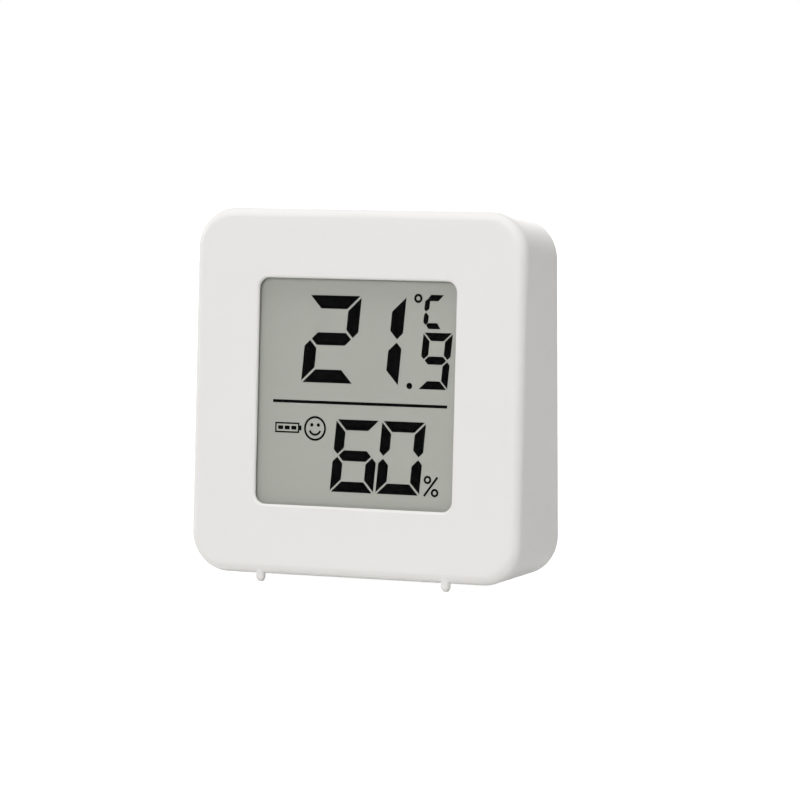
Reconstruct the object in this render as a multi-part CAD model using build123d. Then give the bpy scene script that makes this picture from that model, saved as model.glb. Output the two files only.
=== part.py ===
from build123d import *
import math
import os

# A square desk and wall sensor that shows temperature and humidity. Lengths are millimetres, angles degrees.
# X runs to the viewer's right, Y from the viewer to the wall, Z up, with the tips of the feet at Z = 0.

# Body
face_tilt = 3.77
corner_radius = 5.0
front_edge_radius = 1.25
front_wall = 1.3
side_wall = 1.5
cover_proud = 2.0
rim_side_inset = 0.65
rim_top_drop = 1.28
rim_edge_radius = 0.9
root_sink = 0.3
cut_overrun = 1.0

# Feet
foot_height = 0.95
foot_radius = 0.58
foot_tip_radius = 0.32
foot_taper = 0.45
foot_side_inset = 9.8
foot_front_setback = 0.7
foot_rear_setback = 2.2
foot_root = 1.3

# Display opening and window
window_corner_radius = 1.35
lip_edge_radius = 0.35
lip_thickness = 0.45
window_border = 2.0
window_thickness = 0.5
window_clearance = 0.15
window_edge_radius = 1.0
adhesive_thickness = 0.1
adhesive_width = 1.7

# Display cell
polarizer_thickness = 0.2
polarizer_border = 1.6
reflector_thickness = 0.25
reflector_border = 1.6
reflector_corner = 0.4
window_air_gap = 0.05
glass_thickness = 0.55
glass_border = 2.0
glass_corner_chamfer = 0.4
contact_ledge = 2.4
contact_strip_end = 1.5
contact_strip_width = 1.8
contact_strip_inset = 0.3

# Display frame
frame_clearance = 0.15
frame_wall = 0.85
frame_corner_radius = 1.6
frame_pocket_radius = 0.3
frame_window_inset = 1.5
frame_peg_radius = 0.6
frame_peg_height = 0.9
frame_peg_inset = 2.5
frame_board_boss_gap = 0.4
frame_floor_gap = 1.75
frame_roof_gap = 3.95
frame_rear_bar = 2.85
frame_boss_clearance = 0.2

# Circuit board
board_thickness = 1.0
board_side_gap = 2.3
board_end_gap = 2.5
board_corner_radius = 3.0
board_screw_inset = 1.8
board_low_screw_rise = 8.0
board_high_screw_drop = 14.0
board_hole_radius = 0.8
board_peg_clearance = 0.1
board_notch_clearance = 0.4

# Board bosses and screws
board_boss_radius = 1.5
board_pilot_radius = 0.5
board_pilot_depth = 3.2
board_web_thickness = 1.0
board_web_drop = 1.2
board_screw_head_radius = 1.25
board_screw_head_height = 0.8
board_screw_length = 3.6
screw_slot_depth = 0.35
screw_slot_width = 0.35
screw_slot_length = 1.7
head_edge_chamfer = 0.25

# Rear cover
cover_gap = 0.15
cover_wall = 1.5
cover_skirt = 1.3
cover_depth = 5.0
cover_edge_radius = 1.0
cover_screw_inset = 2.5
cover_screw_drop = 5.27
cover_post_radius = 1.9
cover_boss_radius = 1.5
cover_head_depth = 2.6
cover_head_clearance = 0.15
cover_screw_head_radius = 1.25
cover_screw_head_height = 0.9
cover_screw_shank_radius = 0.75
cover_screw_length = 7.5
cover_shank_clearance = 0.15
cover_pilot_extra = 0.6
seat_rib_width = 1.2
seat_rib_reach = 1.0
seat_rib_column = 5.0
seat_rib_board_gap = 0.5
hook_inset = 8.2
hook_width = 4.0
hook_thickness = 1.0
hook_reach = 1.8
hook_nose = 0.5
hook_nose_length = 0.9
hook_clearance = 0.2

# Coin cell and its well
cell_radius = 10.0
cell_thickness = 3.2
can_wall = 0.3
can_edge_radius = 0.5
crimp_lip = 0.9
cap_proud = 0.25
cap_wall = 0.25
gasket_width = 1.1
cell_door_gap = 0.2
well_clearance = 0.2
well_wall = 1.0
well_floor = 0.9
well_board_gap = 2.527

# Battery contacts
contact_thickness = 0.3
negative_leaf_width = 5.0
negative_leaf_length = 12.0
negative_leg_width = 2.4
contact_leg_slack = 0.05
contact_slot_gap = 0.25
positive_leaf_width = 5.0
positive_leaf_depth = 3.0
positive_leg_width = 2.4
positive_slot_depth = 0.5

# Battery door
door_thickness = 1.4
door_side_lap = 1.5
door_foot_lap = 1.3
door_foot_margin = 2.85
door_gap = 0.2
door_corner_radius = 1.0
door_edge_radius = 0.3
door_ledge_rim = 2.0
door_ledge_thickness = 1.1
hinge_radius = 1.0
hinge_cell_gap = 0.3
hinge_pin_radius = 0.5
hinge_pin_length = 1.2
hinge_pin_clearance = 0.06
hinge_end_gap = 0.2
detent_radius = 0.3
detent_proud = 0.12
detent_length = 5.0
nail_notch_radius = 2.4
nail_notch_depth = 0.9
nail_notch_width = 8.0
door_rib_width = 1.0
door_rib_height = 0.1
door_rib_inset = 3.0
door_rib_column = 3.5

# Hanging keyhole
keyhole_radius = 3.25
keyhole_slot_radius = 1.6
keyhole_slot_rise = 5.2
keyhole_door_margin = 1.85
keyhole_top_margin = 1.87
keyhole_pocket_depth = 2.6
keyhole_pocket_margin = 0.3
keyhole_pocket_wall = 0.8
keyhole_pocket_corner = 1.2

# Vents beside the sensor
vent_count = 4
vent_length = 7.0
vent_width = 1.0
vent_pitch = 2.0
rear_row_rise = 2.0

# Unit button and its switch
button_radius = 2.0
button_clearance = 0.15
button_recess = 0.2
button_dish_depth = 0.25
button_dish_radius = 6.0
button_flange_radius = 2.8
button_flange_thickness = 0.6
button_flange_gap = 0.15
button_stem_radius = 1.2
button_stem_gap = 0.2
switch_size = 6.0
switch_body_height = 3.3
switch_corner_radius = 0.5
switch_rivet_radius = 0.4
switch_rivet_height = 0.15
switch_rivet_inset = 0.9
plunger_radius = 1.7
plunger_clearance = 0.08
plunger_socket_depth = 1.0
plunger_engagement = 0.55
plunger_proud = 0.8

# Parts on the board
chip_radius = 3.1
chip_height = 1.1
chip_edge_radius = 0.9
chip_side_gap = 1.7
sensor_width = 8.6
sensor_height = 6.4
sensor_depth = 2.6
sensor_corner_radius = 0.6
sensor_post_gap = 0.3
sensor_slot_count = 4
sensor_slot_width = 0.7
sensor_slot_length = 5.0
sensor_slot_pitch = 1.8
sensor_slot_depth = 1.4
bead_radius = 0.9
bead_lift = 2.2
bead_lead_radius = 0.2
bead_lead_spacing = 0.8
bead_pocket_gap = 0.35
bead_sensor_gap = 0.4
bead_top_gap = 2.8
small_part_length = 1.6
small_part_width = 0.8
capacitor_height = 0.8
resistor_height = 0.45
capacitor_count = 4
resistor_count = 5
small_part_pitch = 2.0
capacitor_side_inset = 5.6
capacitor_foot_rise = 2.8
resistor_side_inset = 4.8
resistor_foot_rise = 10.4

# Tilt of the front face
tilt_sine = math.sin(math.radians(face_tilt))
tilt_cosine = math.cos(math.radians(face_tilt))
tilt_tangent = math.tan(math.radians(face_tilt))

# Depths behind the front face
window_front = lip_thickness + adhesive_thickness
polarizer_front = window_front + window_thickness + window_air_gap
front_glass_front = polarizer_front + polarizer_thickness
rear_glass_front = front_glass_front + glass_thickness
reflector_front = rear_glass_front + glass_thickness
reflector_back = reflector_front + reflector_thickness
board_depth = reflector_back + frame_rear_bar
board_back = board_depth + board_thickness

# Heights above the body's floor: the battery door stands below the keyhole, and both set the body's height
cover_low = side_wall + cover_gap
door_low = cover_low + door_foot_margin
cell_height = door_low + door_foot_lap + cell_radius
hinge_height = cell_height + cell_radius + hinge_cell_gap + hinge_radius
door_top = hinge_height + hinge_radius + door_gap
keyhole_height = door_top + keyhole_door_margin + keyhole_radius
rear_row_height = keyhole_height + rear_row_rise
cover_high = keyhole_height + keyhole_slot_rise + keyhole_slot_radius + keyhole_top_margin
cover_screw_height = cover_high - cover_screw_drop
rim_height = cover_high + side_wall + cover_gap
body_height = rim_height + rim_top_drop

# Widths: the keyhole's pocket, the bead, the sensor and the cover's post stand side by side in half the body
pocket_half_width = keyhole_radius + keyhole_pocket_margin + keyhole_pocket_wall
bead_column = -(pocket_half_width + bead_pocket_gap + bead_radius)
sensor_column = bead_column - bead_radius - bead_sensor_gap - sensor_width / 2
button_column = -sensor_column
cover_screw_column = button_column + sensor_width / 2 + sensor_post_gap + cover_post_radius
cover_width = 2 * (cover_screw_column + cover_screw_inset)
rim_width = cover_width + 2 * (side_wall + cover_gap)
body_width = rim_width + 2 * rim_side_inset
cover_radius = corner_radius - side_wall - cover_gap
hook_column = cover_width / 2 - hook_inset
foot_column = body_width / 2 - foot_side_inset

# Depths from front to rear: display, board, cell and door follow each other at the cell's height
cell_drop = (cell_height - front_edge_radius) * tilt_tangent
well_depth = well_floor + contact_thickness + cell_thickness + cell_door_gap
overall_depth = cell_drop + board_back / tilt_cosine + well_board_gap + well_depth + door_thickness
front_y = -overall_depth / 2
rear_y = overall_depth / 2
rim_depth = overall_depth - cover_proud
rim_y = front_y + rim_depth
cover_front = rear_y - cover_depth
cover_inner_y = rear_y - cover_wall
ledge_front_y = cover_inner_y - door_ledge_thickness
head_seat_y = rear_y - cover_head_depth
door_inner_y = rear_y - door_thickness
hinge_y = rear_y - hinge_radius
cell_rear_y = door_inner_y - cell_door_gap
cell_front_y = cell_rear_y - cell_thickness
well_floor_y = cell_front_y - contact_thickness
well_front_y = well_floor_y - well_floor

# Board, display glass and window, from the outside in
board_width = body_width - 2 * board_side_gap
board_height = body_height - 2 * board_end_gap
board_screw_column = board_width / 2 - board_screw_inset
board_screw_rows = (board_height / 2 - board_high_screw_drop, board_low_screw_rise - board_height / 2)
frame_growth = frame_clearance + frame_wall
glass_width = 2 * (board_screw_column - board_boss_radius - frame_board_boss_gap - frame_growth)
window_width = glass_width - 2 * glass_border
window_high = body_height / 2 - side_wall - frame_roof_gap - frame_growth - glass_border
window_low = side_wall + frame_floor_gap + frame_growth + contact_ledge + glass_border - body_height / 2
window_height = window_high - window_low
window_rise = (window_high + window_low) / 2
rear_glass_height = window_height + 2 * glass_border
front_glass_height = rear_glass_height + contact_ledge
front_glass_rise = window_rise - contact_ledge / 2
contact_strip_length = glass_width - 2 * contact_strip_end
frame_peg_column = glass_width / 2 - frame_peg_inset

# Battery and its door
well_radius = cell_radius + well_clearance
cap_radius = cell_radius - can_wall - gasket_width
door_width = 2 * (cell_radius + door_side_lap)
door_rib_length = 2 * (cell_radius - door_rib_inset)

# Places of the small parts on the board, from its centre
chip_place = (chip_side_gap + chip_radius - board_width / 2, sum(board_screw_rows) / 2)
bead_place = (bead_column, board_height / 2 - bead_top_gap)
capacitor_place = (capacitor_side_inset - board_width / 2, capacitor_foot_rise - board_height / 2)
resistor_place = (board_width / 2 - resistor_side_inset, resistor_foot_rise - board_height / 2)


def face_y(height, depth):
    """Y of the point at a height above the body's floor and a depth behind the front face."""
    return front_y + (height - front_edge_radius) * tilt_tangent + depth / tilt_cosine


def face_at(depth):
    """Plane parallel to the front face, at a depth behind it, facing the viewer."""
    middle = body_height / 2
    origin = Vector(0, face_y(middle, 0) + depth * tilt_cosine, foot_height + middle - depth * tilt_sine)
    return Plane(origin=origin, x_dir=(1, 0, 0), z_dir=(0, -tilt_cosine, tilt_sine))


def face_rise(height, depth):
    """Distance up the tilted plane at a depth, from its centre to a height above the body's floor."""
    return (height - body_height / 2 + depth * tilt_sine) / tilt_cosine


def upright_at(y):
    """Plane facing the viewer at a Y, with its origin on the body's floor."""
    return Plane(origin=(0, y, foot_height), x_dir=(1, 0, 0), z_dir=(0, -1, 0))


def slab(depth, thickness, outline):
    """Solid on a tilted plane that goes from a depth towards the rear."""
    return extrude(face_at(depth) * outline, amount=-thickness)


def block(y, thickness, outline):
    """Solid on an upright plane that goes from a Y towards the rear."""
    return extrude(upright_at(y) * outline, amount=-thickness)


def span_outline(width, low, high, radius):
    """Rounded rectangle between two heights, centred on X."""
    return Pos(0, (low + high) / 2) * RectangleRounded(width, high - low, radius)


def places(column, height):
    """A place on the right and its mirror on the left."""
    return [(column, height), (-column, height)]


def edge_outline(width, low, high):
    """Sharp rectangle between two heights, centred on X."""
    return Pos(0, (low + high) / 2) * Rectangle(width, high - low)


def tapered_form(front, rim, radius):
    """Form between a tilted front outline and an upright rim outline, with its four long edges rounded."""
    form = loft([front.face(), rim.face()], ruled=True)
    return fillet(form.edges().filter_by(runs_back), radius)


def runs_back(edge):
    """True for an edge that runs from the front to the rim, and not along one of them."""
    direction = edge.tangent_at(0)
    return abs(direction.Y) > abs(direction.X) + abs(direction.Z)


def housing_outer():
    """Outer form: square at the tilted face, a little smaller at the upright rim."""
    share = front_edge_radius / rim_depth
    width = body_width + 2 * rim_side_inset * share
    high = face_rise(body_height + rim_top_drop * share, 0)
    front = face_at(0) * edge_outline(width, face_rise(0, 0), high)
    rim = upright_at(rim_y) * edge_outline(rim_width, 0, rim_height)
    form = tapered_form(front, rim, corner_radius)
    form = fillet(form.faces().sort_by(Axis.Y)[0].edges(), front_edge_radius)
    return fillet(form.faces().sort_by(Axis.Y)[-1].edges(), rim_edge_radius)


def housing_cavity():
    """Space inside the walls, open at the rear."""
    share = front_wall / rim_depth
    width = body_width - 2 * (side_wall + rim_side_inset * share)
    low = face_rise(side_wall, front_wall)
    high = face_rise(body_height - rim_top_drop * share - side_wall, front_wall)
    front = face_at(front_wall) * edge_outline(width, low, high)
    inner_width = rim_width - 2 * side_wall
    inner_high = rim_height - side_wall
    rim = upright_at(rim_y) * edge_outline(inner_width, side_wall, inner_high)
    form = tapered_form(front, rim, corner_radius - side_wall)
    mouth = span_outline(inner_width, side_wall, inner_high, corner_radius - side_wall)
    return form + block(rim_y, cut_overrun, mouth)


def window_outline(border, radius):
    """Outline of the display opening, grown by a border."""
    width = window_width + 2 * border
    return Pos(0, window_rise) * RectangleRounded(width, window_height + 2 * border, radius)


def board_bosses():
    """Four bosses that carry the circuit board, each with a web to the side wall."""
    length = board_depth - front_wall + root_sink
    result = []
    for row in board_screw_rows:
        for column, height in places(board_screw_column, row):
            place = Pos(column, height)
            boss = slab(front_wall - root_sink, length, place * Circle(board_boss_radius))
            reach = body_width / 2 - side_wall / 2 - board_screw_column
            side = math.copysign(1, column)
            web = Pos(column + side * reach / 2, height) * Rectangle(reach, board_web_thickness)
            boss += slab(front_wall - root_sink, length - board_web_drop, web)
            start = board_depth - board_pilot_depth
            boss -= slab(start, board_pilot_depth + cut_overrun, place * Circle(board_pilot_radius))
            result.append(boss)
    return result


def cover_bosses():
    """Two bosses that take the rear cover's screws."""
    start = face_y(cover_screw_height, front_wall / 2)
    bottom = head_seat_y - cover_screw_length - cover_pilot_extra
    result = []
    for column, height in places(cover_screw_column, cover_screw_height):
        place = Pos(column, height)
        boss = block(start, cover_front - start, place * Circle(cover_boss_radius))
        reach = body_width / 2 - side_wall - column * math.copysign(1, column)
        side = math.copysign(1, column)
        web = Pos(column + side * reach / 2, height) * Rectangle(reach, board_web_thickness)
        boss += block(start, cover_front - start - board_web_drop, web)
        boss -= block(bottom, cover_front - bottom + cut_overrun, place * Circle(cover_screw_shank_radius))
        result.append(boss)
    return result


def seat_ribs():
    """Ribs on the floor and the roof of the housing that stop the rear cover."""
    result = []
    roof = rim_height - side_wall
    floor_span = (side_wall / 2, side_wall + seat_rib_reach)
    roof_span = (roof - seat_rib_reach, roof + side_wall / 2)
    for column in (seat_rib_column, -seat_rib_column):
        for low, high in (floor_span, roof_span):
            start = face_y((low + high) / 2, board_back) + seat_rib_board_gap
            outline = Pos(column, (low + high) / 2) * Rectangle(seat_rib_width, high - low)
            result.append(block(start, cover_front - start, outline))
    return result


def hook_recesses():
    """Pockets in the housing's floor that take the rear cover's hooks."""
    nose_front = cover_front - hook_reach
    low = cover_low - hook_nose - hook_clearance
    high = side_wall + root_sink
    outline = Pos(0, (low + high) / 2) * Rectangle(hook_width + 2 * hook_clearance, high - low)
    length = hook_nose_length + 2 * hook_clearance
    return [block(nose_front - hook_clearance, length, Pos(column, 0) * outline)
            for column in (hook_column, -hook_column)]


def feet():
    """Four small pegs with tapered tips, two under the front edge and two at the rear."""
    result = []
    for y in (front_y + foot_front_setback, rim_y - foot_rear_setback):
        for x in (foot_column, -foot_column):
            tip = Pos(x, y, foot_taper / 2) * Cone(foot_tip_radius, foot_radius, foot_taper)
            shank_height = foot_height + foot_root - foot_taper
            shank = Pos(x, y, foot_taper + shank_height / 2) * Cylinder(foot_radius, shank_height)
            result.append(tip + shank)
    return result


def front_housing():
    """Deep moulded tub: tilted face with the display opening, walls, bosses, ribs and feet."""
    housing = housing_outer()
    opening = slab(-cut_overrun, front_wall + 2 * cut_overrun, window_outline(0, window_corner_radius))
    housing -= opening
    face = housing.faces().filter_by(face_at(0)).sort_by(Axis.Y)[0]
    housing = fillet(face.inner_wires()[0].edges(), lip_edge_radius)
    housing -= housing_cavity()
    pocket = window_outline(window_border + window_clearance, window_edge_radius + window_clearance)
    housing -= slab(lip_thickness, front_wall, pocket)
    envelope = housing_outer()
    for boss in board_bosses() + cover_bosses() + seat_ribs():
        housing += boss & envelope
    for recess in hook_recesses():
        housing -= recess
    for foot in feet():
        housing += foot
    return housing


def window_adhesive():
    """Thin frame of adhesive between the housing's lip and the window."""
    outer = window_outline(window_border, window_edge_radius)
    inner = window_outline(window_border - adhesive_width, window_edge_radius)
    return slab(lip_thickness, adhesive_thickness, outer - inner)


def display_window():
    """Clear flat window behind the opening."""
    return slab(window_front, window_thickness, window_outline(window_border, window_edge_radius))


def front_polarizer():
    """Front film of the display."""
    return slab(polarizer_front, polarizer_thickness, window_outline(polarizer_border, window_clearance))


def glass_sheet(depth, height, rise):
    """One sheet of display glass with its two upper corners cut."""
    top = height / 2
    side = glass_width / 2
    outline = Polyline(
        (-side, -top), (side, -top), (side, top - glass_corner_chamfer), (side - glass_corner_chamfer, top),
        (-side + glass_corner_chamfer, top), (-side, top - glass_corner_chamfer), close=True)
    return slab(depth, glass_thickness, Pos(0, rise) * make_face(outline))


def lcd_front_glass():
    """Front glass, longer at the foot, where its contact ledge is."""
    return glass_sheet(front_glass_front, front_glass_height, front_glass_rise)


def lcd_rear_glass():
    """Rear glass, short of the contact ledge."""
    return glass_sheet(rear_glass_front, rear_glass_height, window_rise)


def rear_reflector():
    """Rear film of the display, with its reflector."""
    return slab(reflector_front, reflector_thickness, window_outline(reflector_border, reflector_corner))


def contact_strip_outline(growth):
    """Outline of the rubber contact strip under the front glass's ledge."""
    low = front_glass_rise - front_glass_height / 2 + contact_strip_inset
    middle = low + contact_strip_width / 2
    return Pos(0, middle) * Rectangle(contact_strip_length + 2 * growth, contact_strip_width + 2 * growth)


def zebra_strip():
    """Rubber contact strip from the glass's ledge to the circuit board."""
    return slab(rear_glass_front, board_depth - rear_glass_front, contact_strip_outline(0))


def display_frame():
    """Plastic frame that holds the glass in place and seats on the circuit board."""
    place = Pos(0, front_glass_rise)
    outer = RectangleRounded(
        glass_width + 2 * frame_growth, front_glass_height + 2 * frame_growth, frame_corner_radius)
    frame = slab(front_wall, board_depth - front_wall, place * outer)
    pocket_width = glass_width + 2 * frame_clearance
    front_pocket = place * RectangleRounded(
        pocket_width, front_glass_height + 2 * frame_clearance, frame_pocket_radius)
    frame -= slab(front_wall, rear_glass_front - front_wall, front_pocket)
    rear_pocket = Pos(0, window_rise) * RectangleRounded(
        pocket_width, rear_glass_height + 2 * frame_clearance, frame_pocket_radius)
    frame -= slab(rear_glass_front, reflector_back - rear_glass_front, rear_pocket)
    through = window_outline(-frame_window_inset, window_corner_radius)
    frame -= slab(reflector_back, board_depth, through)
    frame -= slab(rear_glass_front, board_depth, contact_strip_outline(frame_clearance))
    for column, height in places(cover_screw_column, cover_screw_height):
        scallop = Pos(column, height) * Circle(cover_boss_radius + frame_boss_clearance)
        frame -= block(face_y(height, 0), face_y(height, board_back) - face_y(height, 0), scallop)
    for column in (frame_peg_column, -frame_peg_column):
        frame += slab(board_depth, frame_peg_height, Pos(column, frame_peg_rise()) * Circle(frame_peg_radius))
    return frame


def frame_peg_rise():
    """Height on the face of the frame's two locating pegs, in its upper bar."""
    top = window_rise + rear_glass_height / 2
    inner = window_rise + window_height / 2 - frame_window_inset
    return (top + inner) / 2


def circuit_board():
    """Board with holes for its screws and the frame's pegs, and notches round the cover's bosses."""
    outline = RectangleRounded(board_width, board_height, board_corner_radius)
    board = slab(board_depth, board_thickness, outline)
    for row in board_screw_rows:
        for column, height in places(board_screw_column, row):
            hole = Pos(column, height) * Circle(board_hole_radius)
            board -= slab(board_depth - cut_overrun, board_back, hole)
    for column in (frame_peg_column, -frame_peg_column):
        hole = Circle(frame_peg_radius + board_peg_clearance)
        board -= slab(board_depth - cut_overrun, board_back, Pos(column, frame_peg_rise()) * hole)
    radius = cover_boss_radius + board_notch_clearance
    start = face_y(cover_screw_height, board_depth) - cut_overrun
    for column, height in places(cover_screw_column, cover_screw_height):
        side = math.copysign(1, column)
        edge = Pos(column + side * board_width / 4, height) * Rectangle(board_width / 2, 2 * radius)
        notch = Pos(column, height) * Circle(radius) + edge
        board -= block(start, board_thickness + 2 * cut_overrun, notch)
    return board


def board_screws():
    """Four screws that hold the board on the housing's bosses."""
    result = []
    for row in board_screw_rows:
        for column, height in places(board_screw_column, row):
            place = Pos(column, height)
            head = slab(board_back, board_screw_head_height, place * Circle(board_screw_head_radius))
            head = chamfer(head.faces().sort_by(Axis.Y)[-1].edges(), head_edge_chamfer)
            cross = cross_recess(place)
            top = board_back + board_screw_head_height - screw_slot_depth
            head -= slab(top, screw_slot_depth + cut_overrun, cross)
            start = board_back - board_screw_length
            result.append(head + slab(start, board_screw_length, place * Circle(board_pilot_radius)))
    return Compound(children=result)


def cross_recess(place):
    """Outline of a cross recess at a place."""
    bar = Rectangle(screw_slot_length, screw_slot_width)
    return place * (bar + Rot(0, 0, 90) * bar)


def rear_cover_screws():
    """Two screws that hold the rear cover."""
    result = []
    for column, height in places(cover_screw_column, cover_screw_height):
        place = Pos(column, height)
        head = block(head_seat_y, cover_screw_head_height, place * Circle(cover_screw_head_radius))
        head = chamfer(head.faces().sort_by(Axis.Y)[-1].edges(), head_edge_chamfer)
        top = head_seat_y + cover_screw_head_height - screw_slot_depth
        head -= block(top, screw_slot_depth + cut_overrun, cross_recess(place))
        start = head_seat_y - cover_screw_length
        result.append(head + block(start, cover_screw_length, place * Circle(cover_screw_shank_radius)))
    return Compound(children=result)


def cover_posts():
    """Two screw posts of the rear cover, from its wall to the housing's bosses."""
    return [block(cover_front, cover_inner_y - cover_front, Pos(column, height) * Circle(cover_post_radius))
            for column, height in places(cover_screw_column, cover_screw_height)]


def cover_hooks():
    """Two tongues at the cover's foot, each with a nose for the housing's floor."""
    nose_front = cover_front - hook_reach
    tongue = Pos(0, cover_low + hook_thickness / 2) * Rectangle(hook_width, hook_thickness)
    nose = Pos(0, cover_low - hook_nose / 2) * Rectangle(hook_width, hook_nose)
    result = []
    for column in (hook_column, -hook_column):
        hook = block(nose_front, hook_reach + cover_skirt, Pos(column, 0) * tongue)
        result.append(hook + block(nose_front, hook_nose_length, Pos(column, 0) * nose))
    return result


def keyhole_outline(round_radius, slot_radius):
    """Round head hole with a narrow slot above it."""
    slot = Pos(0, keyhole_height + keyhole_slot_rise / 2) * Rectangle(2 * slot_radius, keyhole_slot_rise)
    end = Pos(0, keyhole_height + keyhole_slot_rise) * Circle(slot_radius)
    return Pos(0, keyhole_height) * Circle(round_radius) + slot + end


def keyhole_pocket(growth, y, depth):
    """Box behind the keyhole, which keeps a screw's head away from the board."""
    low = keyhole_height - keyhole_radius - keyhole_pocket_margin - growth
    high = keyhole_height + keyhole_slot_rise + keyhole_slot_radius + keyhole_pocket_margin + growth
    width = 2 * (keyhole_radius + keyhole_pocket_margin + growth)
    return block(y, depth, span_outline(width, low, high, keyhole_pocket_corner))


def hinge_rod(radius, length):
    """Rod on the battery door's hinge line."""
    return Pos(0, hinge_y, foot_height + hinge_height) * Rot(0, 90, 0) * Cylinder(radius, length)


def door_opening():
    """Opening of the rear wall round the battery door."""
    low = door_low - door_gap
    high = door_top
    width = door_width + 2 * door_gap
    outline = Pos(0, (low + high) / 2) * Rectangle(width, high - low)
    return block(cover_inner_y, cover_wall + cut_overrun, outline)


def cover_shell():
    """Pan of the rear cover: flat wall, skirt and softened rear edge."""
    depth = rear_y - cover_front
    shell = block(cover_front, depth, span_outline(cover_width, cover_low, cover_high, cover_radius))
    shell = fillet(shell.faces().sort_by(Axis.Y)[-1].edges(), cover_edge_radius)
    inner_width = cover_width - 2 * cover_skirt
    inner_radius = cover_radius - cover_skirt
    inner = span_outline(inner_width, cover_low + cover_skirt, cover_high - cover_skirt, inner_radius)
    return shell - block(cover_front - cut_overrun, cover_inner_y - cover_front + cut_overrun, inner)


def door_ledge():
    """Thick rim behind the door opening, which carries the hinge sockets."""
    low = door_low - door_gap - door_ledge_rim
    high = door_top + door_ledge_rim
    width = door_width + 2 * (door_gap + door_ledge_rim)
    return block(ledge_front_y, door_ledge_thickness, span_outline(width, low, high, door_corner_radius))


def rear_cover():
    """Rear pan with the battery well, door seat, keyhole, vents, button hole and screw posts."""
    envelope = block(cover_front, rear_y - cover_front, span_outline(
        cover_width, cover_low, cover_high, cover_radius))
    cover = cover_shell()
    for post in cover_posts():
        cover += post & envelope
    cover += door_ledge() & envelope
    cell_place = Pos(0, cell_height)
    cover += block(well_front_y, cover_inner_y - well_front_y, cell_place * Circle(well_radius + well_wall))
    pocket_front = cover_inner_y - keyhole_pocket_depth - keyhole_pocket_wall
    cover += keyhole_pocket(keyhole_pocket_wall, pocket_front, cover_inner_y - pocket_front) & envelope
    for hook in cover_hooks():
        cover += hook
    cover -= keyhole_pocket(0, cover_inner_y - keyhole_pocket_depth, keyhole_pocket_depth)
    cover -= block(cover_inner_y - cut_overrun, cover_wall + 2 * cut_overrun, keyhole_outline(
        keyhole_radius, keyhole_slot_radius))
    cover -= block(well_floor_y, cover_wall + cover_inner_y - well_floor_y, cell_place * Circle(well_radius))
    cover -= door_opening()
    groove = hinge_radius + door_gap
    cover -= hinge_rod(groove, door_width + 2 * door_gap)
    pin_reach = hinge_pin_length + hinge_end_gap
    cover -= hinge_rod(hinge_pin_radius + hinge_pin_clearance, door_width + 2 * pin_reach)
    notch = Pos(0, rear_y + nail_notch_radius - nail_notch_depth, foot_height + door_low - door_gap)
    notch *= Rot(0, 90, 0) * Cylinder(nail_notch_radius, nail_notch_width)
    cover -= notch
    for vent in range(vent_count):
        height = rear_row_height + (vent - (vent_count - 1) / 2) * vent_pitch
        slot = Pos(sensor_column, height) * SlotOverall(vent_length, vent_width)
        cover -= block(cover_inner_y - cut_overrun, cover_wall + 2 * cut_overrun, slot)
    hole = Pos(button_column, rear_row_height) * Circle(button_radius + button_clearance)
    cover -= block(cover_inner_y - cut_overrun, cover_wall + 2 * cut_overrun, hole)
    for column, height in places(cover_screw_column, cover_screw_height):
        head_hole = Circle(cover_screw_head_radius + cover_head_clearance)
        cover -= block(head_seat_y, cover_head_depth + cut_overrun, Pos(column, height) * head_hole)
        shank_hole = Circle(cover_screw_shank_radius + cover_shank_clearance)
        cover -= block(cover_front - cut_overrun, cover_head_depth + rear_y, Pos(column, height) * shank_hole)
    cover -= negative_slot()
    cover -= positive_slot()
    return cover


def negative_slot():
    """Slot in the well's floor for the negative contact's leg."""
    height = cell_height - negative_leaf_length / 2 + contact_thickness / 2
    slot = Rectangle(negative_leg_width + 2 * contact_slot_gap, contact_thickness + 2 * contact_slot_gap)
    return block(well_front_y - cut_overrun, well_floor + 2 * cut_overrun, Pos(0, height) * slot)


def positive_slot():
    """Slot in the well's wall and floor for the positive contact."""
    start = cell_radius - contact_slot_gap
    end = well_radius + positive_slot_depth
    slot = Rectangle(end - start, positive_leaf_width + 2 * contact_slot_gap)
    depth = cell_rear_y - well_front_y
    return block(well_front_y - cut_overrun, depth + cut_overrun, Pos((start + end) / 2, cell_height) * slot)


def leg_to_board(column, height, width, thickness, end_y):
    """Contact leg from near the board's rear face to the contact."""
    start = face_y(height, board_back) + contact_leg_slack
    return block(start, end_y - start, Pos(column, height) * Rectangle(width, thickness))


def negative_contact():
    """Leaf on the well's floor under the cell's cap, with a leg to the board."""
    leaf = Pos(0, cell_height) * Rectangle(negative_leaf_width, negative_leaf_length)
    height = cell_height - negative_leaf_length / 2 + contact_thickness / 2
    leg = leg_to_board(0, height, negative_leg_width, contact_thickness, well_floor_y)
    return block(well_floor_y, contact_thickness, leaf) + leg


def positive_contact():
    """Leaf against the cell's rim, with a leg to the board."""
    column = cell_radius + contact_leg_slack + contact_thickness / 2
    leaf = Pos(column, cell_height) * Rectangle(contact_thickness, positive_leaf_width)
    leaf_front = well_floor_y
    leg = leg_to_board(column, cell_height, contact_thickness, positive_leg_width, leaf_front)
    return block(leaf_front, positive_leaf_depth, leaf) + leg


def turned_about_cell(profile):
    """Solid turned about the cell's axis from a profile of radius and distance behind the cell's front."""
    plane = Plane(origin=(0, cell_front_y, foot_height + cell_height), x_dir=(1, 0, 0), z_dir=(0, 0, 1))
    return revolve(plane * profile, Axis((0, cell_front_y, foot_height + cell_height), (0, 1, 0)))


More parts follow.
